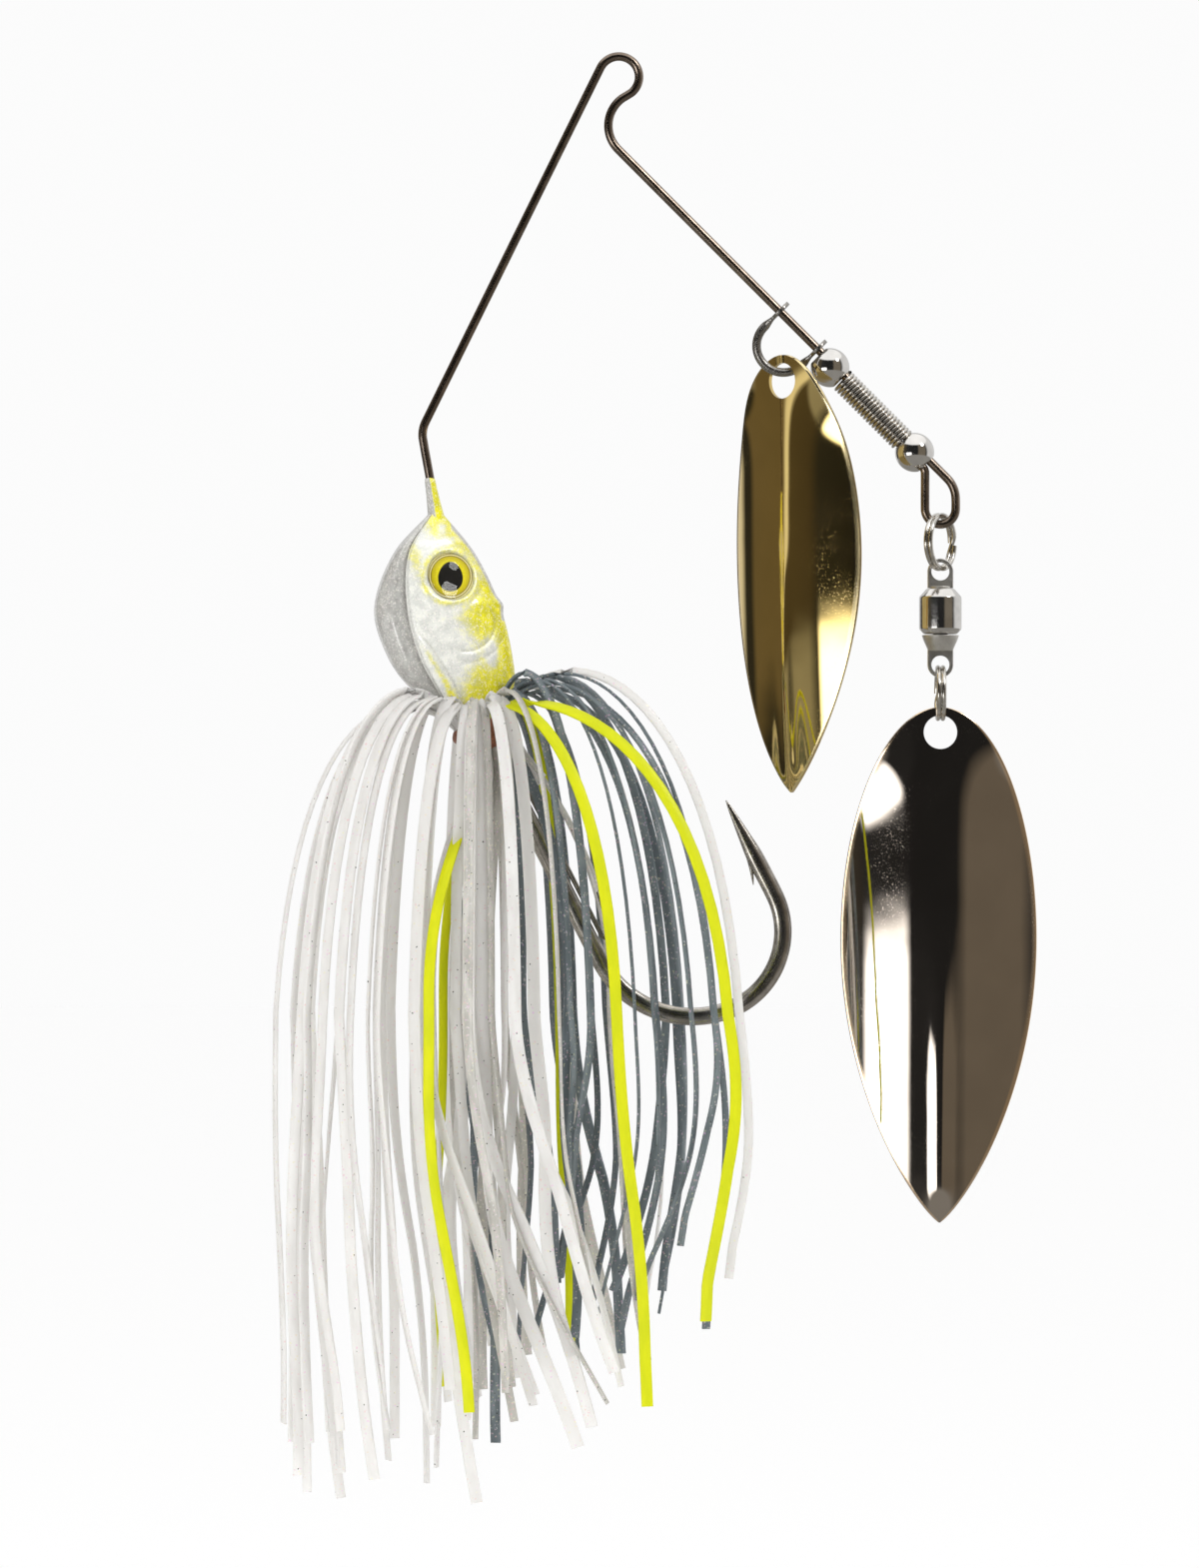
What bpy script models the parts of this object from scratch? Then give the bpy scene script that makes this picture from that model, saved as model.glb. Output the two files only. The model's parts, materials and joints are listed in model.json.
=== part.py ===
"""Double-willow spinnerbait, modelled as an assembly of separate pieces.

Frame: metres, +Z up, +X from the head towards the blades, +Y to the bait's left cheek.
Origin: inside the crown of the line-tie bend, where the line bears. The wire lies in the plane Y = 0
and the blades hang straight down. Everything is drawn from the bend's centre and then moved down so
that the crown comes to the origin. Every piece stands at its rest place. A moving piece has its own
origin on its joint's axis.
"""

import math

import bmesh
import bpy
from mathutils import Matrix, Vector

MM = 0.001
Y_AXIS = Vector((0.0, 1.0, 0.0))

# Wire form: 0.035 inch stainless wire, bent flat.
WIRE_RADIUS = 0.445 * MM
LINE_TIE_RADIUS = 2.06 * MM
ARM_BEND_RADIUS = 3.43 * MM
LEG_HEADING = 63.7
ARM_HEADING = -45.0
TIE_SWEEP = 218.0
CROWN_STEPS = 9
LEG_LENGTH = 40.0 * MM
KNEE_RADIUS = 3.0 * MM
KNEE_TURN = 33.0
TAIL_SPACING = 0.94 * MM
LOOP_RADIUS = 1.55 * MM
LOOP_SHOULDER_RADIUS = 3.0 * MM
LOOP_TAIL_RADIUS = 0.9 * MM
TAIL_PAST_BEAD = 3.2 * MM
LINK_RADIUS = 1.35 * MM
LINK_TAIL_RISE = 2.2 * MM
LINK_POINTS = 12

# Stack on the arm: distances of each centre along the arm from where its straight part starts.
CLEVIS_EAR_1 = 23.18 * MM
CLEVIS_EAR_2 = 28.59 * MM
FRONT_BEAD_AT = 30.80 * MM
REAR_BEAD_AT = 42.94 * MM
BEAD_RADIUS = 1.985 * MM
BEAD_BORE_RADIUS = 1.0 * MM
COIL_WIRE_RADIUS = 0.16 * MM
COIL_RADIUS = 1.14 * MM
COIL_PITCH = 0.36 * MM
COIL_GAP = 0.10 * MM

# Clevis.
CLEVIS_WIRE_RADIUS = 0.45 * MM
CLEVIS_DROP = 2.24 * MM
EAR_RADIUS = 1.2 * MM
EAR_THICKNESS = 0.4 * MM
EAR_HOLE_RADIUS = 0.52 * MM

# Willow-leaf blades, sizes 4 and 4 1/2, stamped from sheet.
BLADE_THICKNESS = 0.5 * MM
FRONT_BLADE_LENGTH = 44.4 * MM
FRONT_BLADE_WIDTH = 17.2 * MM
FRONT_BLADE_HOLE_RADIUS = 1.8 * MM
FRONT_BLADE_YAW = 36.0
FRONT_BLADE_REST_GAP = 0.5 * MM
REAR_BLADE_LENGTH = 52.4 * MM
REAR_BLADE_WIDTH = 20.0 * MM
REAR_BLADE_HOLE_RADIUS = 1.7 * MM
REAR_BLADE_REST_GAP = 0.1 * MM
BLADE_RIM = 0.85 * MM
BLADE_CUP = 0.105
BLADE_ROCKER = 0.035

# Split rings and ball-bearing swivel, all on one vertical line under the end loop.
RING_WIRE_RADIUS = 0.24 * MM
RING_COIL_PITCH = 0.50 * MM
LOOP_RING_RADIUS = 2.7 * MM
LOOP_RING_YAW = 60.0
BLADE_RING_RADIUS = 2.6 * MM
RING_REST_GAP = 0.22 * MM
TAB_HOLE_RADIUS = 0.92 * MM
TAB_RADIUS = 1.3 * MM
TAB_THICKNESS = 0.5 * MM
UPPER_TAB_HEIGHT = 1.75 * MM
LOWER_TAB_HEIGHT = 3.1 * MM
RING_IN_TAB = 0.28 * MM
SWIVEL_RADIUS = 2.15 * MM
SWIVEL_BORE_RADIUS = 1.7 * MM
SWIVEL_BODY_LENGTH = 4.6 * MM
POST_RADIUS = 0.75 * MM
BALL_RADIUS = 0.4 * MM
BALL_CIRCLE_RADIUS = 1.25 * MM
BALL_COUNT = 6
BALL_SIDE_GAP = 0.04 * MM
STUB_RADIUS = 1.05 * MM
STUB_FIT_GAP = 0.06 * MM
PLUG_RADIUS = 1.6 * MM
FLANGE_RADIUS = 1.45 * MM
SWIVEL_LIP = 0.35 * MM
RUNNING_GAP = 0.08 * MM

# Hook, size 5/0, with forged flat sides.
HOOK_HALF_WIDTH = 0.9 * MM
HOOK_HALF_THICKNESS = 0.75 * MM
HOOK_BEND_HALF_THICKNESS = 0.70 * MM
HOOK_EYE_RADIUS = 1.75 * MM
HOOK_EYE_WIRE_RADIUS = 0.7 * MM
HOOK_EYE_TURN = 285.0
HOOK_HEADING = -63.0
HOOK_SHANK_START = Vector((-20.24 * MM, 0.0, -53.5 * MM))
HOOK_SHANK_LENGTH = 40.4 * MM
HOOK_BEND_RADIUS = 10.5 * MM
HOOK_THROAT_RADIUS = 8.5 * MM
HOOK_POINT_LENGTH = 10.8 * MM
HOOK_TAPER_LENGTH = 6.0 * MM
BARB_AT = 9.3 * MM
BARB_LENGTH = 2.6 * MM
BARB_HEIGHT = 0.75 * MM

# Head casting.
NOSE = Vector((-18.57 * MM, 0.0, -44.3 * MM))
CAST_GAP = 0.22 * MM
STEM_RADIUS = 2.2 * MM
STEM_START = 9.5 * MM
STEM_LENGTH = 8.9 * MM
STEM_LIP = 0.45 * MM
EYE_X = -16.9 * MM
EYE_Z = -50.5 * MM
EYE_RADIUS = 2.38 * MM
EYE_FIT_GAP = 0.12 * MM
EYE_SOCKET_DEPTH = 0.55 * MM
EYE_FOIL_THICKNESS = 0.14 * MM
EYE_DOME_HEIGHT = 0.75 * MM

# Skirt: rubber collar on the head's stem and bundles of strands that hang from it as a bell.
COLLAR_AT = 13.0 * MM
COLLAR_LENGTH = 3.4 * MM
COLLAR_OUTER_RADIUS = 3.1 * MM
COLLAR_GROOVE = 0.25 * MM
SKIRT_THICKNESS = 0.6 * MM
SKIRT_ROOT_RADIUS = 3.7 * MM
SKIRT_REACH_RIGHT = 27.5 * MM
SKIRT_REACH_LEFT = 22.5 * MM
SKIRT_REACH_SIDE = 16.5 * MM
SKIRT_SHOULDER_DROP = 27.0 * MM
SKIRT_BOTTOM_RIGHT = -124.0 * MM
SKIRT_BOTTOM_LEFT = -139.0 * MM

# Trailer keeper: a thin wire barb along the shank.
KEEPER_RADIUS = 0.25 * MM
KEEPER_OFFSET = 1.3 * MM
KEEPER_START = 17.0 * MM
KEEPER_LENGTH = 21.2 * MM

# Hanging line of the swivel, from the end loop.
LOOP_CENTRE_X = 32.6 * MM
LOOP_BOTTOM_Z = -45.35 * MM


# ---------------------------------------------------------------- helpers


def heading_vector(degrees):
    """Unit vector in the plane Y = 0, turned up from +X."""
    angle = math.radians(degrees)
    return Vector((math.cos(angle), 0.0, math.sin(angle)))


def polar(centre, radius, degrees):
    return centre + radius * heading_vector(degrees)


def clear_scene():
    for item in list(bpy.data.objects):
        bpy.data.objects.remove(item, do_unlink=True)


def principled(name, colour, roughness, metallic):
    material = bpy.data.materials.new(name)
    material.use_nodes = True
    shader = material.node_tree.nodes["Principled BSDF"]
    shader.inputs["Base Color"].default_value = (*colour, 1.0)
    shader.inputs["Roughness"].default_value = roughness
    shader.inputs["Metallic"].default_value = metallic
    material.diffuse_color = (*colour, 1.0)
    return material


def add_piece(name, bm, material=None, origin=None, sharp_angle=40.0):
    """Turn a bmesh into an object; origin moves the object's own centre onto its joint."""
    bmesh.ops.recalc_face_normals(bm, faces=bm.faces)
    if origin is not None:
        bmesh.ops.translate(bm, verts=bm.verts, vec=-origin)
    mesh = bpy.data.meshes.new(name)
    bm.to_mesh(mesh)
    bm.free()
    mesh.shade_smooth()
    mesh.set_sharp_from_angle(angle=math.radians(sharp_angle))
    piece = bpy.data.objects.new(name, mesh)
    bpy.context.collection.objects.link(piece)
    if material is not None:
        mesh.materials.append(material)
    if origin is not None:
        piece.location = origin
    return piece


def add_cutter(name, bm):
    cutter = add_piece(name, bm)
    cutter.hide_render = True
    cutter.display_type = "WIRE"
    return cutter


def boolean(piece, tool, operation="DIFFERENCE"):
    modifier = piece.modifiers.new(tool.name, "BOOLEAN")
    modifier.operation = operation
    modifier.object = tool
    modifier.solver = "EXACT"


def bridge_rings(bm, rings, closed=False):
    """Join rings of vertices with quads; open ends get one flat cap each."""
    count = len(rings[0])
    last = len(rings) if closed else len(rings) - 1
    for i in range(last):
        ring = rings[i]
        following = rings[(i + 1) % len(rings)]
        for j in range(count):
            k = (j + 1) % count
            bm.faces.new((ring[j], ring[k], following[k], following[j]))
    if not closed:
        bm.faces.new(rings[0])
        bm.faces.new(rings[-1])


def octagon(radius):
    """Cross-section with a flat facing each way, as (in plane, across) offsets."""
    corners = []
    for i in range(8):
        angle = math.radians(22.5 + 45.0 * i)
        corners.append((radius * math.cos(angle), radius * math.sin(angle)))
    return corners


def path_frames(points, across=Y_AXIS, start=0):
    """Tangent, side and across vectors at each point, carried both ways from start without twist."""
    last = len(points) - 1
    tangents = [(points[min(i + 1, last)] - points[max(i - 1, 0)]).normalized() for i in range(last + 1)]
    frames = [None] * (last + 1)
    for run in (range(start, last + 1), range(start, -1, -1)):
        side = tangents[start].cross(across).normalized()
        for i in run:
            tangent = tangents[i]
            side = (side - tangent * side.dot(tangent)).normalized()
            frames[i] = (tangent, side, side.cross(tangent).normalized())
    return frames


def sweep(points, section, across=Y_AXIS, start=0):
    """Tube along points. section is a list of offsets, or a function from index to such a list."""
    bm = bmesh.new()
    rings = []
    for i, (tangent, side, up) in enumerate(path_frames(points, across, start)):
        offsets = section(i) if callable(section) else section
        ring = [bm.verts.new(points[i] + side * a + up * b) for a, b in offsets]
        rings.append(ring)
    bridge_rings(bm, rings)
    return bm


def lathe(profile, sides, place):
    """Turn (radius, height) pairs round the local Z axis; a zero radius closes the end."""
    bm = bmesh.new()
    rings = []
    for radius, height in profile:
        if radius == 0.0:
            rings.append([bm.verts.new(place @ Vector((0.0, 0.0, height)))])
            continue
        ring = []
        for i in range(sides):
            angle = 2.0 * math.pi * i / sides
            spot = Vector((radius * math.cos(angle), radius * math.sin(angle), height))
            ring.append(bm.verts.new(place @ spot))
        rings.append(ring)
    pairs = list(zip(rings, rings[1:]))
    if len(rings[0]) > 1:
        pairs.append((rings[-1], rings[0]))
    for ring, following in pairs:
        for i in range(sides):
            j = (i + 1) % sides
            if len(ring) == 1:
                bm.faces.new((ring[0], following[i], following[j]))
            elif len(following) == 1:
                bm.faces.new((ring[i], following[0], ring[j]))
            else:
                bm.faces.new((ring[i], ring[j], following[j], following[i]))
    return bm


def axis_place(centre, direction):
    """Matrix that puts local Z along direction at centre."""
    turn = Vector((0.0, 0.0, 1.0)).rotation_difference(direction)
    return Matrix.Translation(centre) @ turn.to_matrix().to_4x4()


def cylinder(centre, direction, radius, length, sides=16):
    profile = [(0.0, -length / 2), (radius, -length / 2), (radius, length / 2), (0.0, length / 2)]
    return lathe(profile, sides, axis_place(centre, direction))


class PlanePath:
    """Centre line in the plane Y = 0, drawn as straight runs and arcs one after another."""

    def __init__(self, start, heading):
        self.points = [start.copy()]
        self.heading = heading

    def line(self, length, steps=1):
        start = self.points[-1]
        for i in range(1, steps + 1):
            self.points.append(start + heading_vector(self.heading) * (length * i / steps))
        return self

    def arc(self, radius, turn, steps):
        """Positive turn bends to the left of the heading."""
        side = 90.0 if turn > 0 else -90.0
        centre = polar(self.points[-1], radius, self.heading + side)
        for i in range(1, steps + 1):
            heading = self.heading + turn * i / steps
            self.points.append(polar(centre, radius, heading - side))
        self.heading += turn
        return self


# ---------------------------------------------------------------- shared places


ARM = heading_vector(ARM_HEADING)
BELOW_ARM = heading_vector(ARM_HEADING - 90.0)
SHANK = heading_vector(HOOK_HEADING)
SHANK_SIDE = heading_vector(HOOK_HEADING + 90.0)


def arm_start():
    """Where the arm's straight part begins, past the line tie's second bend."""
    junction = LEG_HEADING + 90.0 - TIE_SWEEP
    second = polar(Vector(), LINE_TIE_RADIUS + ARM_BEND_RADIUS, junction)
    return polar(second, ARM_BEND_RADIUS, ARM_HEADING - 90.0)


def on_arm(distance, below=0.0):
    return arm_start() + ARM * distance + BELOW_ARM * below


def on_shank(distance, aside=0.0):
    return HOOK_SHANK_START + SHANK * distance + SHANK_SIDE * aside


def clevis_bow_centre():
    return on_arm((CLEVIS_EAR_1 + CLEVIS_EAR_2) / 2, CLEVIS_DROP)


def hook_eye_centre():
    return on_shank(0.0, HOOK_EYE_RADIUS)


def hanging(z):
    return Vector((LOOP_CENTRE_X, 0.0, z))


LOOP_RING_TOP_Z = LOOP_BOTTOM_Z + WIRE_RADIUS + RING_WIRE_RADIUS + RING_REST_GAP
LOOP_RING_Z = LOOP_RING_TOP_Z - LOOP_RING_RADIUS
UPPER_HOLE_Z = LOOP_RING_Z - LOOP_RING_RADIUS - RING_IN_TAB
SWIVEL_TOP_Z = UPPER_HOLE_Z - UPPER_TAB_HEIGHT
SWIVEL_BOTTOM_Z = SWIVEL_TOP_Z - SWIVEL_BODY_LENGTH
LOWER_HOLE_Z = SWIVEL_BOTTOM_Z - LOWER_TAB_HEIGHT
BLADE_RING_TOP_Z = LOWER_HOLE_Z - RING_IN_TAB
BLADE_RING_Z = BLADE_RING_TOP_Z - BLADE_RING_RADIUS
REAR_HOLE_TOP_Z = BLADE_RING_Z - BLADE_RING_RADIUS + RING_WIRE_RADIUS + REAR_BLADE_REST_GAP
REAR_HOLE_Z = REAR_HOLE_TOP_Z - REAR_BLADE_HOLE_RADIUS
BALL_Z = SWIVEL_BOTTOM_Z + SWIVEL_LIP + BALL_RADIUS + BALL_SIDE_GAP
SWIVEL_PLACE = Matrix.Translation((LOOP_CENTRE_X, 0.0, 0.0))


# ---------------------------------------------------------------- wire form


def wire_points():
    """Centre line from the link in the hook's eye, up the leg, over the line tie and down the arm."""
    eye = hook_eye_centre()
    link_centre = eye + Vector((0.0, 0.0, HOOK_EYE_RADIUS))
    points = [link_centre + Vector((0.0, -LINK_RADIUS, LINK_TAIL_RISE))]
    steps = 8
    for i in range(steps + 1):
        angle = math.pi * i / steps
        y = -LINK_RADIUS * math.cos(angle)
        z = -LINK_RADIUS * math.sin(angle)
        points.append(link_centre + Vector((0.0, y, z)))
    points.append(link_centre + Vector((0.0, LINK_RADIUS * 0.85, 1.6 * MM)))
    points.append(link_centre + Vector((0.0, LINK_RADIUS * 0.2, 4.2 * MM)))
    return points + leg_points() + arm_points()


def arm_points():
    """Down the arm, round the end loop and back up the arm as a tail that lies beside it."""
    arm = PlanePath(on_arm(0.0), ARM_HEADING)
    arm.line(REAR_BEAD_AT, steps=3)
    corner = (LOOP_CENTRE_X + LOOP_RADIUS - arm_start().x) / ARM.x
    shoulder_tangent = LOOP_SHOULDER_RADIUS * math.tan(math.radians(22.5))
    arm.line(corner - REAR_BEAD_AT - shoulder_tangent)
    arm.arc(LOOP_SHOULDER_RADIUS, -45.0, steps=4)
    arm.line(arm.points[-1].z - (LOOP_BOTTOM_Z + LOOP_RADIUS))
    arm.arc(LOOP_RADIUS, -180.0, steps=12)

    # The tail rises until it meets the line that runs beside the arm, and turns onto it.
    tail_line = on_arm(0.0, TAIL_SPACING)
    corner_z = tail_line.z - (LOOP_CENTRE_X - LOOP_RADIUS - tail_line.x)
    tail_tangent = LOOP_TAIL_RADIUS * math.tan(math.radians(22.5))
    arm.line(corner_z - tail_tangent - arm.points[-1].z)
    arm.arc(LOOP_TAIL_RADIUS, 45.0, steps=3)
    arm.points.append(on_arm(FRONT_BEAD_AT + TAIL_PAST_BEAD, TAIL_SPACING))
    return arm.points[1:]


def leg_points():
    """From the nose up to the knee, the leg, the line-tie bend and the second bend."""
    down = PlanePath(polar(Vector(), LINE_TIE_RADIUS, LEG_HEADING + 90.0), LEG_HEADING + 180.0)
    down.line(LEG_LENGTH, steps=2)
    down.arc(KNEE_RADIUS, KNEE_TURN, steps=4)
    knee_end = down.points[-1]
    run = NOSE - knee_end
    points = [NOSE, knee_end + run * 0.35]
    points += list(reversed(down.points))
    tie = PlanePath(points[-1], LEG_HEADING)
    tie.arc(LINE_TIE_RADIUS, -2 * LEG_HEADING, steps=CROWN_STEPS)
    tie.arc(LINE_TIE_RADIUS, 2 * LEG_HEADING - TIE_SWEEP, steps=6)
    tie.arc(ARM_BEND_RADIUS, ARM_HEADING - tie.heading, steps=8)
    return points + tie.points[1:]


def add_wire_form():
    material = principled("bronzed_wire", (0.16, 0.13, 0.10), 0.28, 1.0)
    points = wire_points()
    crown = max(range(len(points)), key=lambda i: points[i].z)
    bm = sweep(points, octagon(WIRE_RADIUS), start=crown)
    return add_piece("wire_form", bm, material)


# ---------------------------------------------------------------- hook and keeper


def hook_centre_line():
    """Path with, at each point, its distance from the point's tip."""
    path = PlanePath(hook_eye_start(), HOOK_HEADING - HOOK_EYE_TURN)
    path.arc(HOOK_EYE_RADIUS, HOOK_EYE_TURN, steps=14)
    path.line(3.0 * MM)
    path.line(HOOK_SHANK_LENGTH - 3.0 * MM, steps=3)
    path.arc(HOOK_BEND_RADIUS, 83.0, steps=10)
    path.arc(HOOK_THROAT_RADIUS, 97.0, steps=11)
    for run in (HOOK_POINT_LENGTH - BARB_AT, 0.15 * MM, BARB_LENGTH, 1.2 * MM):
        path.line(run)
    remaining = BARB_AT - 0.15 * MM - BARB_LENGTH - 1.2 * MM
    path.line(remaining, steps=3)
    distances = [0.0]
    for after, before in zip(reversed(path.points), reversed(path.points[:-1])):
        distances.append(distances[-1] + (after - before).length)
    return path.points, list(reversed(distances))


def hook_eye_start():
    return polar(hook_eye_centre(), HOOK_EYE_RADIUS, HOOK_HEADING - HOOK_EYE_TURN - 90.0)


def hook_section(half_width, half_thickness, barb):
    """Octagon with flat forged sides. The barb pushes the inner edge out."""
    inner = half_width + barb
    flat = 0.55 * half_width
    edge = 0.45 * half_thickness
    return [
        (inner, edge * 0.8),
        (flat, half_thickness),
        (-flat, half_thickness),
        (-half_width, edge),
        (-half_width, -edge),
        (-flat, -half_thickness),
        (flat, -half_thickness),
        (inner, -edge * 0.8),
    ]


def add_hook():
    material = principled("black_nickel", (0.20, 0.19, 0.18), 0.22, 1.0)
    points, distances = hook_centre_line()
    shank_begins = distances[14]
    shank_ends = distances[18]

    def section(i):
        distance = distances[i]
        if distance >= shank_begins - 1e-6:
            return octagon(HOOK_EYE_WIRE_RADIUS)
        forged = HOOK_HALF_THICKNESS if distance >= shank_ends - 1e-6 else HOOK_BEND_HALF_THICKNESS
        taper = min(1.0, 0.06 + 0.94 * (distance / HOOK_TAPER_LENGTH) ** 0.8)
        barb = BARB_HEIGHT if abs(distance - (BARB_AT - 0.15 * MM)) < 1e-7 else 0.0
        return hook_section(HOOK_HALF_WIDTH * taper, forged * taper, barb)

    return add_piece("hook", sweep(points, section), material)


def add_trailer_keeper():
    material = principled("keeper_wire", (0.22, 0.20, 0.18), 0.3, 1.0)
    path = PlanePath(on_shank(KEEPER_START, KEEPER_OFFSET), HOOK_HEADING)
    path.line(KEEPER_LENGTH)
    path.arc(0.5 * MM, 172.0, steps=6)
    path.line(4.2 * MM)
    last = len(path.points) - 1

    def section(i):
        return octagon(KEEPER_RADIUS * (0.35 if i == last else 1.0))

    return add_piece("trailer_keeper", sweep(path.points, section), material)


# ---------------------------------------------------------------- head casting


def smooth_through(knots, z):
    """Value at height z on a smooth curve through (height, value) knots, highest knot first."""
    for i in range(len(knots) - 1):
        upper, lower = knots[i], knots[i + 1]
        if z >= lower[0]:
            break
    before = knots[max(i - 1, 0)]
    after = knots[min(i + 2, len(knots) - 1)]
    span = upper[0] - lower[0]
    t = min(1.0, max(0.0, (upper[0] - z) / span))
    slope_1 = (lower[1] - before[1]) / max(before[0] - lower[0], 1e-9) * span
    slope_2 = (after[1] - upper[1]) / max(upper[0] - after[0], 1e-9) * span
    h1 = 2 * t**3 - 3 * t**2 + 1
    h2 = t**3 - 2 * t**2 + t
    h3 = -2 * t**3 + 3 * t**2
    h4 = t**3 - t**2
    return h1 * upper[1] + h2 * slope_1 + h3 * lower[1] + h4 * slope_2


# Head outline in millimetres, as (height, value), from the nose down to the skirt.
BELLY_EDGE = [
    (-44.3, -19.3), (-48.4, -22.9), (-54.0, -24.8), (-59.0, -23.6), (-62.0, -21.6), (-63.4, -18.6)
]
CHEEK_EDGE = [
    (-44.3, -18.9), (-48.4, -21.2), (-54.0, -21.3), (-59.0, -20.0), (-62.0, -18.2), (-63.4, -17.0)
]
BACK_EDGE = [
    (-44.3, -17.8), (-48.4, -14.5), (-54.0, -11.9), (-60.0, -10.6), (-62.6, -10.7), (-63.4, -11.6)
]
HALF_THICKNESS = [
    (-44.3, 0.72), (-48.0, 3.5), (-53.0, 4.8), (-59.0, 4.8), (-62.4, 3.9), (-63.4, 3.3)
]
HEAD_ROWS = 15
KEEL_SAMPLES = (1.0, 0.93, 0.72, 0.4, 0.07)
CHEEK_SAMPLES = (0.0, 0.14, 0.3, 0.46, 0.62, 0.78, 0.9, 0.97, 1.0)


def head_shape(z):
    """Belly, cheek and back edges and half thickness at a height, in metres."""
    height = z / MM
    edges = (BELLY_EDGE, CHEEK_EDGE, BACK_EDGE, HALF_THICKNESS)
    return [smooth_through(knots, height) * MM for knots in edges]


def keel_side(v):
    return 0.74 * math.sqrt(max(0.0, 1.0 - v**2.4))


def cheek_side(v):
    return (1.0 - 0.30 * v - 0.42 * v * v) * math.sqrt(max(0.0, 1.0 - v**9))


def head_side(x, z):
    """Half thickness of the casting at a place on its side."""
    belly, cheek, back, half = head_shape(z)
    if x < cheek:
        return half * keel_side((cheek - x) / (cheek - belly))
    return half * cheek_side((x - cheek) / (back - cheek))


def head_body():
    bm = bmesh.new()
    rings = []
    top = HALF_THICKNESS[0][0] * MM
    bottom = HALF_THICKNESS[-1][0] * MM
    for i in range(HEAD_ROWS):
        z = top + (bottom - top) * i / (HEAD_ROWS - 1)
        belly, cheek, back, half = head_shape(z)
        side = [(cheek + (belly - cheek) * v, half * keel_side(v)) for v in KEEL_SAMPLES]
        side += [(cheek + (back - cheek) * v, half * cheek_side(v)) for v in CHEEK_SAMPLES]
        outline = [Vector((x, y, z)) for x, y in side]
        outline += [Vector((x, -y, z)) for x, y in reversed(side[1:-1])]
        rings.append([bm.verts.new(point) for point in outline])
    bridge_rings(bm, rings)
    return bm


def eye_place(side):
    """Matrix of one eye: local Z points out of the cheek."""
    step = 0.2 * MM
    y = head_side(EYE_X, EYE_Z)
    slope_x = (head_side(EYE_X + step, EYE_Z) - head_side(EYE_X - step, EYE_Z)) / (2 * step)
    slope_z = (head_side(EYE_X, EYE_Z + step) - head_side(EYE_X, EYE_Z - step)) / (2 * step)
    normal = Vector((-slope_x, side, -slope_z)).normalized()
    return axis_place(Vector((EYE_X, side * y, EYE_Z)), normal)


def stem_union():
    """Turned stem below the cheek that carries the skirt's collar, with a lip that keeps it on."""
    profile = [
        (0.0, 0.0),
        (STEM_RADIUS, 0.0),
        (STEM_RADIUS, STEM_LENGTH - 1.7 * MM),
        (STEM_RADIUS + STEM_LIP, STEM_LENGTH - 1.1 * MM),
        (STEM_RADIUS * 0.8, STEM_LENGTH),
        (0.0, STEM_LENGTH),
    ]
    return add_cutter("stem_union", lathe(profile, 20, axis_place(on_shank(STEM_START), SHANK)))


def wire_tunnel():
    """Room in the casting for the link, the wire's twist to the nose and its way out at the nose."""
    inside = wire_points()[:LINK_POINTS]
    way_out = NOSE + Vector((0.0, 0.0, 1.0 * MM))
    points = inside + [NOSE, way_out]
    section = octagon(WIRE_RADIUS + CAST_GAP)
    return add_cutter("wire_tunnel", sweep(points, section, across=Vector((1.0, 0.0, 0.0))))


def hook_eye_cut():
    """Ring-shaped room for the hook's eye."""
    path = PlanePath(hook_eye_centre() + SHANK_SIDE * HOOK_EYE_RADIUS, HOOK_HEADING + 180.0)
    path.arc(HOOK_EYE_RADIUS, 360.0, steps=14)
    section = octagon(HOOK_EYE_WIRE_RADIUS + CAST_GAP)
    bm = bmesh.new()
    rings = []
    for point in path.points[:-1]:
        outward = (point - hook_eye_centre()).normalized()
        rings.append([bm.verts.new(point + outward * a + Y_AXIS * b) for a, b in section])
    bridge_rings(bm, rings, closed=True)
    return add_cutter("hook_eye_cut", bm)


def shank_cut():
    end = STEM_START + STEM_LENGTH + 2.0 * MM
    middle = on_shank(end / 2 - 1.6 * MM)
    return add_cutter("shank_cut", cylinder(middle, SHANK, HOOK_HALF_WIDTH + CAST_GAP, end, 10))


def keeper_cut():
    """Room in the stem's end for the start of the keeper wire."""
    middle = on_shank(KEEPER_START + 1.5 * MM, KEEPER_OFFSET)
    return add_cutter("keeper_cut", cylinder(middle, SHANK, KEEPER_RADIUS + 0.15 * MM, 3.6 * MM, 8))


def eye_socket(side, label):
    depth = 1.0 * MM
    place = eye_place(side) @ Matrix.Translation((0.0, 0.0, depth - EYE_SOCKET_DEPTH))
    rim = EYE_RADIUS + EYE_FIT_GAP
    profile = [(0.0, -depth), (rim, -depth), (rim, depth), (0.0, depth)]
    return add_cutter(f"eye_socket_{label}", lathe(profile, 20, place))


def add_head():
    material = principled("pearl_paint", (0.86, 0.88, 0.80), 0.3, 0.1)
    head = add_piece("head_casting", head_body(), material, sharp_angle=35.0)
    boolean(head, stem_union(), "UNION")
    boolean(head, wire_tunnel())
    boolean(head, hook_eye_cut())
    boolean(head, shank_cut())
    boolean(head, keeper_cut())
    for side, label in ((1, "left"), (-1, "right")):
        boolean(head, eye_socket(side, label))


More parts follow.
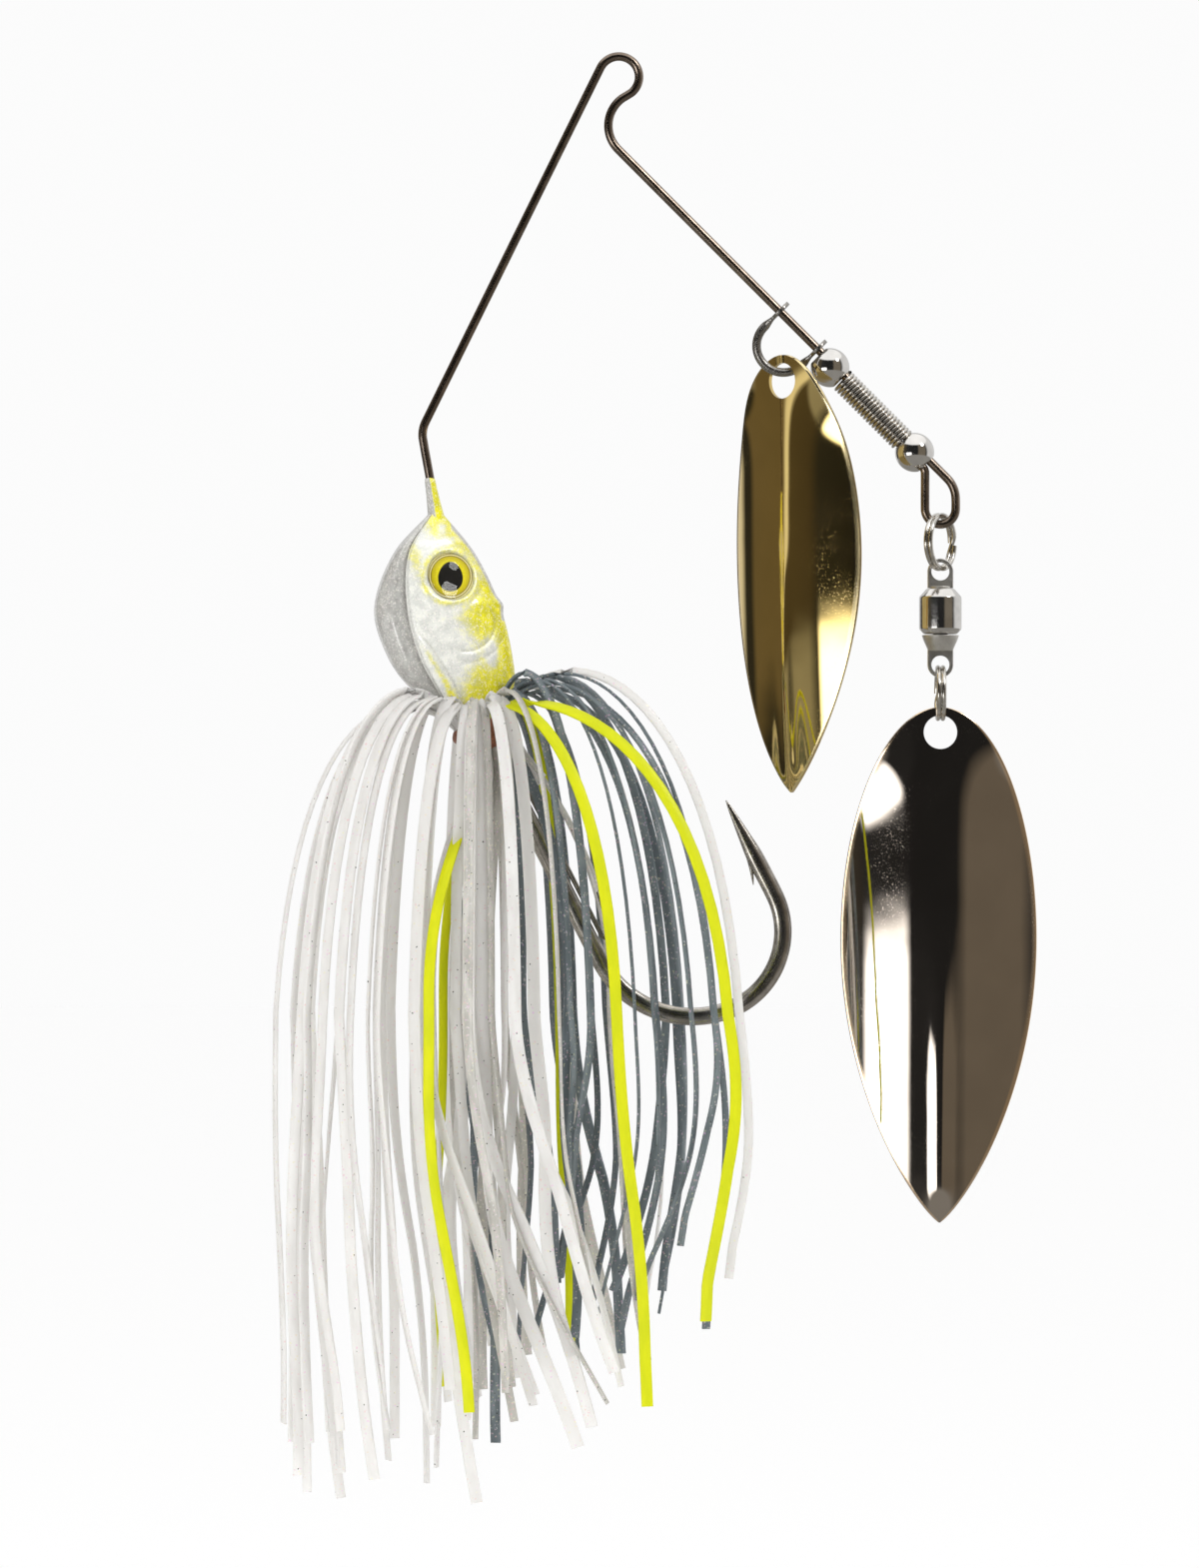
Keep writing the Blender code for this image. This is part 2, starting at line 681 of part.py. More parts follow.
def add_eyes():
    foil_material = principled("eye_foil", (0.85, 0.68, 0.05), 0.25, 0.6)
    dome_material = principled("eye_dome", (0.04, 0.04, 0.04), 0.05, 0.0)
    for side, label in ((1, "left"), (-1, "right")):
        floor = Matrix.Translation((0.0, 0.0, -EYE_SOCKET_DEPTH + 0.05 * MM))
        place = eye_place(side) @ floor
        top = EYE_FOIL_THICKNESS
        foil = [(0.0, 0.0), (EYE_RADIUS, 0.0), (EYE_RADIUS, top), (0.0, top)]
        add_piece(f"eye_foil_{label}", lathe(foil, 20, place), foil_material)
        dome = eye_dome_profile(top + 0.03 * MM)
        add_piece(f"eye_dome_{label}", lathe(dome, 20, place), dome_material)


def eye_dome_profile(base):
    """Flat back, a short upright edge and a low dome."""
    edge = math.radians(15.0)
    steps = 5
    profile = [(0.0, base), (EYE_RADIUS, base)]
    for i in range(1, steps):
        angle = edge + (math.pi / 2 - edge) * i / steps
        radius = EYE_RADIUS * math.cos(angle) / math.cos(edge)
        profile.append((radius, base + EYE_DOME_HEIGHT * math.sin(angle)))
    profile.append((0.0, base + EYE_DOME_HEIGHT))
    return profile


# ---------------------------------------------------------------- skirt


def add_skirt_collar():
    material = principled("collar_rubber", (0.32, 0.14, 0.08), 0.6, 0.0)
    inner = STEM_RADIUS + RUNNING_GAP
    outer = COLLAR_OUTER_RADIUS
    length = COLLAR_LENGTH
    chamfer = 0.3 * MM
    profile = [
        (inner, 0.0),
        (outer - chamfer, 0.0),
        (outer, chamfer),
        (outer, length * 0.36),
        (outer - COLLAR_GROOVE, length * 0.5),
        (outer, length * 0.64),
        (outer, length - chamfer),
        (outer - chamfer, length),
        (inner, length),
    ]
    add_piece("skirt_collar", lathe(profile, 24, axis_place(on_shank(COLLAR_AT), SHANK)), material)


def skirt_reach(azimuth):
    """Horizontal reach of the bell from its axis."""
    along = SKIRT_REACH_RIGHT if math.cos(azimuth) > 0 else SKIRT_REACH_LEFT
    return 1.0 / math.hypot(math.cos(azimuth) / along, math.sin(azimuth) / SKIRT_REACH_SIDE)


def skirt_bottom(azimuth):
    mix = 0.5 + 0.5 * math.cos(azimuth)
    return SKIRT_BOTTOM_LEFT + (SKIRT_BOTTOM_RIGHT - SKIRT_BOTTOM_LEFT) * mix


def skirt_root(azimuth):
    """Start of a strand, just outside the head's end of the collar."""
    centre = on_shank(COLLAR_AT + 0.6 * MM)
    aside = SHANK_SIDE * math.cos(azimuth) + Y_AXIS * math.sin(azimuth)
    return centre + aside * SKIRT_ROOT_RADIUS


def skirt_line(azimuth):
    """Centre line of the bell at one azimuth: out over the collar, round the shoulder and down."""
    outward = Vector((math.cos(azimuth), math.sin(azimuth), 0.0))
    root = skirt_root(azimuth)
    axis = on_shank(COLLAR_AT)
    reach = skirt_reach(azimuth)
    shoulder = axis + outward * reach
    shoulder.z -= SKIRT_SHOULDER_DROP
    control_1 = root + outward * (0.30 * reach) + Vector((0.0, 0.0, 2.2 * MM))
    control_2 = axis + outward * (0.94 * reach) + Vector((0.0, 0.0, 1.0 * MM))
    points = []
    for i in range(7):
        t = i / 6
        points.append(
            root * (1 - t) ** 3
            + control_1 * (3 * t * (1 - t) ** 2)
            + control_2 * (3 * t**2 * (1 - t))
            + shoulder * t**3
        )
    end = Vector((shoulder.x, shoulder.y, skirt_bottom(azimuth)))
    points.append((shoulder + end) / 2)
    points.append(end)
    return points


def add_skirt_bundle(name, start, stop, material):
    """Closed slab of the bell between two azimuths in degrees; its joint is at its root."""
    columns = 4
    angles = [math.radians(start + (stop - start) * i / columns) for i in range(columns + 1)]
    lines = [skirt_line(angle) for angle in angles]
    bm = bmesh.new()
    rings = []
    for row in range(len(lines[0])):
        outer_side = []
        inner_side = []
        for angle, line in zip(angles, lines):
            outward = Vector((math.cos(angle), math.sin(angle), 0.0))
            tangent = (line[min(row + 1, len(line) - 1)] - line[max(row - 1, 0)]).normalized()
            across = Vector((-outward.y, outward.x, 0.0))
            normal = across.cross(tangent).normalized()
            outer_side.append(line[row] + normal * (SKIRT_THICKNESS / 2))
            inner_side.append(line[row] - normal * (SKIRT_THICKNESS / 2))
        rings.append([bm.verts.new(point) for point in outer_side + inner_side[::-1]])
    bridge_rings(bm, rings)
    middle = math.radians((start + stop) / 2)
    add_piece(name, bm, material, origin=skirt_root(middle))


def add_skirt():
    white = principled("skirt_white", (0.90, 0.90, 0.86), 0.45, 0.0)
    pearl = principled("skirt_pearl", (0.78, 0.79, 0.76), 0.4, 0.0)
    smoke = principled("skirt_smoke", (0.22, 0.26, 0.28), 0.45, 0.0)
    chartreuse = principled("skirt_chartreuse", (0.82, 0.90, 0.02), 0.45, 0.0)
    sectors = (
        ("smoke", 9.0, 48.0, smoke),
        ("chartreuse", 53.0, 66.0, chartreuse),
        ("pearl", 71.0, 116.0, pearl),
        ("white", 121.0, 176.0, white),
    )
    for label, start, stop, material in sectors:
        add_skirt_bundle(f"skirt_{label}_left", start, stop, material)
        add_skirt_bundle(f"skirt_{label}_right", -stop, -start, material)


# ---------------------------------------------------------------- stack on the arm


def add_bead(name, distance):
    material = principled(f"{name}_steel", (0.62, 0.61, 0.59), 0.12, 1.0)
    centre = on_arm(distance, TAIL_SPACING / 2)
    start = math.asin(BEAD_BORE_RADIUS / BEAD_RADIUS)
    profile = []
    steps = 8
    for i in range(steps + 1):
        angle = start + (math.pi - 2 * start) * i / steps
        profile.append((BEAD_RADIUS * math.sin(angle), BEAD_RADIUS * math.cos(angle)))
    bm = lathe(profile, 20, axis_place(Vector(), ARM))
    bmesh.ops.translate(bm, verts=bm.verts, vec=centre)
    add_piece(name, bm, material, origin=centre)


def bead_face(offset):
    """Distance from a bead's centre to its surface, measured along the arm."""
    return math.sqrt(BEAD_RADIUS**2 - offset**2)


def add_coil_sleeve():
    material = principled("coil_steel", (0.60, 0.58, 0.55), 0.2, 1.0)
    clear = COIL_RADIUS - COIL_WIRE_RADIUS
    start = FRONT_BEAD_AT + bead_face(clear) + COIL_GAP + COIL_WIRE_RADIUS
    stop = REAR_BEAD_AT - bead_face(clear) - COIL_GAP - COIL_WIRE_RADIUS
    turns = (stop - start) / COIL_PITCH
    steps_per_turn = 8
    steps = round(turns * steps_per_turn)
    points = []
    for i in range(steps + 1):
        angle = 2.0 * math.pi * turns * i / steps
        centre = on_arm(start + (stop - start) * i / steps, TAIL_SPACING / 2)
        outward = BELOW_ARM * math.cos(angle) + Y_AXIS * math.sin(angle)
        points.append(centre + outward * COIL_RADIUS)
    radius = COIL_WIRE_RADIUS
    section = [(radius, 0.0), (0.0, radius), (-radius, 0.0), (0.0, -radius)]
    bm = sweep(points, section, across=ARM)
    middle = on_arm((start + stop) / 2, TAIL_SPACING / 2)
    add_piece("coil_sleeve", bm, material, origin=middle, sharp_angle=95.0)


# ---------------------------------------------------------------- clevis and front blade


def clevis_section(half_thickness, half_width):
    """Octagon of any proportion, as (through the strap, across it) offsets."""
    corner = 0.41
    return [
        (half_thickness, half_width * corner),
        (half_thickness * corner, half_width),
        (-half_thickness * corner, half_width),
        (-half_thickness, half_width * corner),
        (-half_thickness, -half_width * corner),
        (-half_thickness * corner, -half_width),
        (half_thickness * corner, -half_width),
        (half_thickness, -half_width * corner),
    ]


def add_clevis():
    """Stirrup clevis: round bow whose ends are flattened and drilled to turn on the arm."""
    material = principled("clevis_nickel", (0.66, 0.65, 0.62), 0.14, 1.0)
    radius = (CLEVIS_EAR_2 - CLEVIS_EAR_1) / 2
    middle = (CLEVIS_EAR_1 + CLEVIS_EAR_2) / 2
    round_wire = (CLEVIS_WIRE_RADIUS, CLEVIS_WIRE_RADIUS)

    # One leg, as (drop below the arm, half width, half thickness): the round ear, a neck, the wire.
    leg = []
    for drop in (-0.98, -0.8, -0.4, 0.1, 0.55, 0.86):
        half_width = EAR_RADIUS * math.sqrt(1.0 - drop * drop)
        leg.append((EAR_RADIUS * drop, half_width, EAR_THICKNESS / 2))
    leg.append((1.65 * MM, 0.50 * MM, 0.36 * MM))
    leg.append((CLEVIS_DROP, *round_wire))

    stations = [(on_arm(CLEVIS_EAR_1, drop), width, thick) for drop, width, thick in leg]
    steps = 12
    for i in range(1, steps):
        angle = math.pi * i / steps
        spot = on_arm(middle - radius * math.cos(angle), CLEVIS_DROP + radius * math.sin(angle))
        stations.append((spot, *round_wire))
    stations += [(on_arm(CLEVIS_EAR_2, drop), width, thick) for drop, width, thick in reversed(leg)]

    def section(i):
        return clevis_section(stations[i][2], stations[i][1])

    points = [station[0] for station in stations]
    origin = on_arm(middle)
    clevis = add_piece("clevis", sweep(points, section), material, origin=origin)
    drill = cylinder(origin, ARM, EAR_HOLE_RADIUS, CLEVIS_EAR_2 - CLEVIS_EAR_1 + 4.0 * MM, 14)
    boolean(clevis, add_cutter("clevis_drill", drill))


def willow_half_width(u):
    """Half width of a willow blade, 0 to 1, at u from its top (0) to its tip (1)."""
    widest = 0.45
    if u < widest:
        return math.sqrt(max(0.0, 1.0 - ((widest - u) / widest) ** 2))
    v = (u - widest) / (1.0 - widest)
    return max(0.0, 1.0 - v * v) ** 0.82


def willow_blade(length, width, hole_drop, place):
    """Cupped leaf. Local Z is up with the hole at the origin, and local -Y is the bulging face."""
    rows = 17
    columns = 6
    bm = bmesh.new()
    rings = []
    for i in range(rows + 1):
        u = 0.006 + 0.988 * (0.5 - 0.5 * math.cos(math.pi * i / rows))
        half = width / 2 * willow_half_width(u)
        z = hole_drop - length * u
        bulge = BLADE_CUP * width * (1.0 - math.exp(-(u / 0.22) ** 2))
        rocker = BLADE_ROCKER * length * (max(0.0, u - 0.3) / 0.7) ** 2
        front = []
        back = []
        for j in range(columns + 1):
            s = -1.0 + 2.0 * j / columns
            reach = s * half / (width / 2)
            y = bulge * reach * reach * 1.6 + rocker
            x = s * half
            front.append(Vector((x, y - BLADE_THICKNESS / 2, z)))
            back.append(Vector((x, y + BLADE_THICKNESS / 2, z)))
        rings.append([bm.verts.new(place @ point) for point in front + back[::-1]])
    bridge_rings(bm, rings)
    return bm


def add_front_blade():
    material = principled("gold_plate", (0.72, 0.52, 0.20), 0.08, 1.0)
    bow = clevis_bow_centre()
    bow_radius = (CLEVIS_EAR_2 - CLEVIS_EAR_1) / 2
    rest = bow_radius - CLEVIS_WIRE_RADIUS - FRONT_BLADE_REST_GAP + FRONT_BLADE_HOLE_RADIUS
    hole = bow - Vector((0.0, 0.0, rest))
    turn = Matrix.Rotation(math.radians(-FRONT_BLADE_YAW), 4, "Z")
    place = Matrix.Translation(hole) @ turn
    hole_drop = FRONT_BLADE_HOLE_RADIUS + BLADE_RIM
    bm = willow_blade(FRONT_BLADE_LENGTH, FRONT_BLADE_WIDTH, hole_drop, place)
    blade = add_piece("front_blade", bm, material, origin=bow)
    drill = cylinder(hole, place.to_3x3() @ Y_AXIS, FRONT_BLADE_HOLE_RADIUS, 3.0 * MM, 20)
    boolean(blade, add_cutter("front_blade_punch", drill))


# ---------------------------------------------------------------- split rings, swivel, rear blade


def split_ring(radius, centre, yaw, phase):
    """Two full turns of wire side by side, stepping over by one wire at the phase angle."""
    steps = 40
    end_gap = 0.12
    crossing = 0.7
    normal = Vector((math.sin(math.radians(yaw)), -math.cos(math.radians(yaw)), 0.0))
    level = Vector((0.0, 0.0, 1.0)).cross(normal)
    points = []
    for i in range(steps + 1):
        angle = (4.0 * math.pi - end_gap) * i / steps
        past = (angle - 2.0 * math.pi) / crossing + 0.5
        across = min(1.0, max(0.0, past))
        across = across * across * (3.0 - 2.0 * across)
        offset = RING_COIL_PITCH * (across - 0.5)
        where = angle + math.radians(phase)
        radial = level * math.cos(where) + Vector((0.0, 0.0, math.sin(where)))
        points.append(centre + radial * radius + normal * offset)
    hexagon = [
        (RING_WIRE_RADIUS * math.cos(math.pi / 3 * k), RING_WIRE_RADIUS * math.sin(math.pi / 3 * k))
        for k in range(6)
    ]
    return sweep(points, hexagon, across=normal)


def tab_outline(hole_z, base_z):
    """Swivel eye: a flat tab with a round end about its hole, standing on its base."""
    up = 1.0 if hole_z > base_z else -1.0
    outline = [Vector((TAB_RADIUS, 0.0, base_z))]
    steps = 8
    for i in range(steps + 1):
        angle = math.pi * i / steps
        z = hole_z + up * TAB_RADIUS * math.sin(angle)
        outline.append(Vector((TAB_RADIUS * math.cos(angle), 0.0, z)))
    outline.append(Vector((-TAB_RADIUS, 0.0, base_z)))
    return outline


def tab_solid(hole_z, base_z):
    bm = bmesh.new()
    rings = []
    for y in (-TAB_THICKNESS / 2, TAB_THICKNESS / 2):
        shift = Vector((LOOP_CENTRE_X, y, 0.0))
        rings.append([bm.verts.new(point + shift) for point in tab_outline(hole_z, base_z)])
    bridge_rings(bm, rings)
    return bm


def add_swivel_barrel():
    """Spun shell, open at the top round the upper eye's stub and at the bottom round the post."""
    material = principled("swivel_nickel", (0.60, 0.59, 0.57), 0.18, 1.0)
    top = SWIVEL_TOP_Z
    bottom = SWIVEL_BOTTOM_Z
    mouth = STUB_RADIUS + STUB_FIT_GAP
    post_hole = POST_RADIUS + RUNNING_GAP
    shell = [
        (mouth, top),
        (1.35 * MM, top),
        (SWIVEL_RADIUS, top - 0.8 * MM),
        (SWIVEL_RADIUS, bottom + 0.25 * MM),
        (SWIVEL_RADIUS - 0.2 * MM, bottom),
        (post_hole, bottom),
        (post_hole, bottom + SWIVEL_LIP),
        (SWIVEL_BORE_RADIUS, bottom + SWIVEL_LIP),
        (SWIVEL_BORE_RADIUS, top - 0.75 * MM),
        (mouth, top - 0.4 * MM),
    ]
    add_piece("swivel_barrel", lathe(shell, 24, SWIVEL_PLACE), material, origin=hanging(LOOP_RING_Z))


def add_swivel_upper_eye(material):
    """Eye tab on a plug that the barrel's mouth is closed over."""
    top = SWIVEL_TOP_Z
    plug = [
        (0.0, top + 0.25 * MM),
        (STUB_RADIUS, top + 0.25 * MM),
        (STUB_RADIUS, top - 0.5 * MM),
        (PLUG_RADIUS, top - 0.86 * MM),
        (PLUG_RADIUS, top - 1.4 * MM),
        (0.0, top - 1.4 * MM),
    ]
    pivot = hanging(LOOP_RING_Z - LOOP_RING_RADIUS)
    eye = add_piece("swivel_upper_eye", lathe(plug, 20, SWIVEL_PLACE), material, origin=pivot)
    boolean(eye, add_cutter("upper_tab", tab_solid(UPPER_HOLE_Z, top + 0.06 * MM)), "UNION")
    hole = cylinder(hanging(UPPER_HOLE_Z), Y_AXIS, TAB_HOLE_RADIUS, 2.0 * MM, 20)
    boolean(eye, add_cutter("upper_tab_punch", hole))


def add_swivel_lower_eye(material):
    """Flange above the balls, post through the barrel's floor, cone and eye tab below it."""
    bottom = SWIVEL_BOTTOM_Z
    flange_z = BALL_Z + BALL_RADIUS + BALL_SIDE_GAP
    flange_top = flange_z + 0.5 * MM
    cone_top = bottom - 0.1 * MM
    cone_end = bottom - 1.7 * MM
    spindle = [
        (0.0, flange_top),
        (FLANGE_RADIUS, flange_top),
        (FLANGE_RADIUS, flange_z),
        (POST_RADIUS, flange_z),
        (POST_RADIUS, cone_top),
        (2.05 * MM, cone_top),
        (2.05 * MM, cone_top - 0.3 * MM),
        (1.1 * MM, cone_end),
        (0.0, cone_end),
    ]
    eye = add_piece("swivel_lower_eye", lathe(spindle, 20, SWIVEL_PLACE), material, origin=hanging(BALL_Z))
    boolean(eye, add_cutter("lower_tab", tab_solid(LOWER_HOLE_Z, bottom - 1.5 * MM)), "UNION")
    hole = cylinder(hanging(LOWER_HOLE_Z), Y_AXIS, TAB_HOLE_RADIUS, 2.0 * MM, 20)
    boolean(eye, add_cutter("lower_tab_punch", hole))


def add_bearing_balls():
    material = principled("ball_steel", (0.7, 0.7, 0.7), 0.08, 1.0)
    for i in range(BALL_COUNT):
        angle = 2.0 * math.pi * i / BALL_COUNT
        spot = Vector((BALL_CIRCLE_RADIUS * math.cos(angle), BALL_CIRCLE_RADIUS * math.sin(angle), 0.0))
        bm = bmesh.new()
        bmesh.ops.create_uvsphere(bm, u_segments=8, v_segments=6, radius=BALL_RADIUS)
        bmesh.ops.translate(bm, verts=bm.verts, vec=hanging(BALL_Z) + spot)
        add_piece(f"bearing_ball_{i + 1}", bm, material, origin=hanging(BALL_Z))


def add_swivel():
    eye_material = principled("swivel_eye_nickel", (0.55, 0.53, 0.50), 0.2, 1.0)
    add_swivel_barrel()
    add_swivel_upper_eye(eye_material)
    add_swivel_lower_eye(eye_material)
    add_bearing_balls()


def add_split_rings():
    material = principled("split_ring_nickel", (0.58, 0.56, 0.53), 0.2, 1.0)
    centre = hanging(LOOP_RING_Z)
    bm = split_ring(LOOP_RING_RADIUS, centre, LOOP_RING_YAW, 0.0)
    add_piece("loop_ring", bm, material, origin=hanging(LOOP_BOTTOM_Z))
    bm = split_ring(BLADE_RING_RADIUS, hanging(BLADE_RING_Z), 90.0, 0.0)
    add_piece("blade_ring", bm, material, origin=hanging(BLADE_RING_TOP_Z))


def add_rear_blade():
    material = principled("dark_nickel_plate", (0.42, 0.37, 0.31), 0.08, 1.0)
    hole = hanging(REAR_HOLE_Z)
    place = Matrix.Translation(hole)
    hole_drop = REAR_BLADE_HOLE_RADIUS + BLADE_RIM
    bm = willow_blade(REAR_BLADE_LENGTH, REAR_BLADE_WIDTH, hole_drop, place)
    blade = add_piece("rear_blade", bm, material, origin=hanging(BLADE_RING_Z))
    drill = cylinder(hole, Y_AXIS, REAR_BLADE_HOLE_RADIUS, 3.0 * MM, 20)
    boolean(blade, add_cutter("rear_blade_punch", drill))


def lower_to_origin():
    """The flat facet inside the bend's crown comes to height zero."""
    flat = WIRE_RADIUS * math.cos(math.radians(22.5))
    crown = (LINE_TIE_RADIUS - flat) * math.cos(math.radians(LEG_HEADING / CROWN_STEPS))
    for piece in bpy.data.objects:
        piece.location.z -= crown


def main():
    clear_scene()
    add_wire_form()
    add_hook()
    add_trailer_keeper()
    add_head()
    add_eyes()
    add_skirt_collar()
    add_skirt()
    add_clevis()
    add_front_blade()
    add_bead("front_bead", FRONT_BEAD_AT)
    add_bead("rear_bead", REAR_BEAD_AT)
    add_coil_sleeve()
    add_split_rings()
    add_swivel()
    add_rear_blade()
    lower_to_origin()


main()
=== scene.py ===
"""Looks of a double-willow spinnerbait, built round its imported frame.

Lengths are in metres. The bait hangs from its line tie with +Z up, its head towards -X and its blades
towards +X. Every place comes from the frame: from a node's box or mesh, or from a joint's place and axis.
"""

import json
import math
import random

import bmesh
import bpy
import numpy as np
from mathutils import Matrix, Vector


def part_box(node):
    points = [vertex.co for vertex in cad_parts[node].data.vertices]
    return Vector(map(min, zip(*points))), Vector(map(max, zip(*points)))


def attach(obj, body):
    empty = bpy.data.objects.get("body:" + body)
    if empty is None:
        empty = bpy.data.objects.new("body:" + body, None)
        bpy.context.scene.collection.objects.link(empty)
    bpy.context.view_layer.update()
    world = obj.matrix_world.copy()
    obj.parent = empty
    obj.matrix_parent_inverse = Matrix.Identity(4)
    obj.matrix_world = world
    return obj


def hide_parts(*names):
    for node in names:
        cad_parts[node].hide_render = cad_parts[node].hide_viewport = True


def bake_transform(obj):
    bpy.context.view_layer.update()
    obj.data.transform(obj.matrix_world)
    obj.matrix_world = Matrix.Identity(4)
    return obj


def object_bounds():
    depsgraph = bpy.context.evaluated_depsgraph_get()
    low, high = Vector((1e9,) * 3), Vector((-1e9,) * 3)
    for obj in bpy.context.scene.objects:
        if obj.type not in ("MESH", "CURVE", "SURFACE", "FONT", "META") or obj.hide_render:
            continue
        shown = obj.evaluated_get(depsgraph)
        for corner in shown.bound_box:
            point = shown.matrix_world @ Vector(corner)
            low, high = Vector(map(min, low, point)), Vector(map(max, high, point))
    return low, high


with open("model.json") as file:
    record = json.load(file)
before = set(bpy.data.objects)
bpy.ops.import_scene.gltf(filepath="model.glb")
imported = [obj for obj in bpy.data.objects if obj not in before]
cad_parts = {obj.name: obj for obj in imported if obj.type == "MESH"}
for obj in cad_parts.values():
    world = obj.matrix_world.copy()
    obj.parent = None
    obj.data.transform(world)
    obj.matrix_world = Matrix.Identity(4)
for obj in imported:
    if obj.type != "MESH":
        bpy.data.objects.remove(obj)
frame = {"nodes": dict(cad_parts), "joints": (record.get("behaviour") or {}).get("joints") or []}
cad_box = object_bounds()

MM = 0.001
UP = Vector((0.0, 0.0, 1.0))
ACROSS = Vector((0.0, 1.0, 0.0))
JOINTS = {joint["name"]: joint for joint in frame["joints"]}


# ---------------------------------------------------------------- measuring the frame


def joint_place(name):
    return Vector(JOINTS[name]["pos_m"])


def joint_axis(name):
    return Vector(JOINTS[name]["axis"]).normalized()


def node_points(node):
    """Corner points of a CAD node, one row each."""
    vertices = frame["nodes"][node].data.vertices
    points = np.zeros(len(vertices) * 3)
    vertices.foreach_get("co", points)
    return points.reshape(-1, 3)


def box_centre(node):
    low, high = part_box(node)
    return (low + high) / 2


def box_size(node):
    low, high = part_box(node)
    return high - low


def end_loops(bm):
    """Closed loops of sharp edges, as sets of corner numbers. The ends of a swept node are such loops."""
    bm.verts.index_update()
    links = {}
    for edge in bm.edges:
        if edge.is_manifold and edge.calc_face_angle() > math.radians(84.0):
            a, b = (corner.index for corner in edge.verts)
            links.setdefault(a, set()).add(b)
            links.setdefault(b, set()).add(a)
    loops = []
    seen = set()
    for first in sorted(links):
        if first in seen:
            continue
        loop = {first}
        edge = {first}
        while edge:
            edge = {other for corner in edge for other in links[corner]} - loop
            loop |= edge
        seen |= loop
        if all(len(links[corner]) == 2 for corner in loop):
            loops.append(loop)
    return loops


def sweep_rings(node):
    """Corner points of each ring of a swept CAD node, in order from one end to the other."""
    bm = bmesh.new()
    bm.from_mesh(frame["nodes"][node].data)
    bmesh.ops.remove_doubles(bm, verts=bm.verts, dist=0.001 * MM)
    loops = end_loops(bm)
    bm.verts.ensure_lookup_table()
    ring = max(loops, key=lambda loop: (len(loop), -min(loop)))
    rings = []
    seen = set(ring)
    while ring:
        rings.append([bm.verts[corner].co.copy() for corner in sorted(ring)])
        corners = [bm.verts[number] for number in ring]
        beyond = {edge.other_vert(corner).index for corner in corners for edge in corner.link_edges}
        ring = beyond - seen
        seen |= ring
    bm.free()
    return rings


def ring_centres(rings):
    return [sum(ring, Vector()) / len(ring) for ring in rings]


def ring_radius(ring):
    centre = sum(ring, Vector()) / len(ring)
    return sum((point - centre).length for point in ring) / len(ring)


def disc_place(node):
    """Centre, outward normal and radius of a thin round node on the side of the head."""
    points = node_points(node)
    centre = points.mean(axis=0)
    spread = np.cov((points - centre).T)
    normal = Vector(np.linalg.eigh(spread)[1][:, 0])
    if normal.y * centre[1] < 0:
        normal = -normal
    radius = np.linalg.norm(points - centre, axis=1).max()
    return Vector(centre), normal, radius


# ---------------------------------------------------------------- shapes


def spline(points, steps):
    """Smooth curve through points or through tuples of numbers, with that many steps to each span."""
    points = [np.array(point, float) for point in points]
    result = []
    for i in range(len(points) - 1):
        before = points[max(i - 1, 0)]
        after = points[min(i + 2, len(points) - 1)]
        here, there = points[i], points[i + 1]
        span = np.linalg.norm(there - here)
        leaving = (there - before) * span / max(np.linalg.norm(here - before) + span, 1e-12)
        arriving = (after - here) * span / max(np.linalg.norm(after - there) + span, 1e-12)
        for k in range(steps):
            t = k / steps
            result.append(
                here * (2 * t**3 - 3 * t**2 + 1)
                + leaving * (t**3 - 2 * t**2 + t)
                + there * (3 * t**2 - 2 * t**3)
                + arriving * (t**3 - t**2)
            )
    result.append(points[-1])
    return result


def smooth_step(low, high, value):
    t = min(1.0, max(0.0, (value - low) / (high - low)))
    return t * t * (3.0 - 2.0 * t)


def axis_place(centre, direction):
    """Matrix that puts local Z along direction at centre."""
    turn = UP.rotation_difference(direction)
    return Matrix.Translation(centre) @ turn.to_matrix().to_4x4()


def round_ring(place, radius, height, sides):
    """Circle round local Z at a height."""
    turns = [2.0 * math.pi * k / sides for k in range(sides)]
    return [place @ Vector((radius * math.cos(a), radius * math.sin(a), height)) for a in turns]


def path_frames(points, across=ACROSS):
    """Side and up vectors at each point of a path, carried along without twist."""
    frames = []
    side = None
    for i in range(len(points)):
        tangent = (points[min(i + 1, len(points) - 1)] - points[max(i - 1, 0)]).normalized()
        if side is None:
            side = tangent.cross(across).normalized()
        side = (side - tangent * side.dot(tangent)).normalized()
        frames.append((side, side.cross(tangent).normalized()))
    return frames


def lengths_along(points):
    """Distance along a path from its start to each of its points."""
    lengths = [0.0]
    for before, after in zip(points, points[1:]):
        lengths.append(lengths[-1] + (after - before).length)
    return lengths


def store(mesh, name, kind, values):
    """Keep a value for each point of a mesh, under a name that materials read."""
    attribute = mesh.attributes.new(name, kind, "POINT")
    field = "vector" if kind == "FLOAT_VECTOR" else "value"
    attribute.data.foreach_set(field, np.array(values, np.float32).ravel())


def add_object(name, data):
    made = bpy.data.objects.new(name, data)
    bpy.context.scene.collection.objects.link(made)
    return made


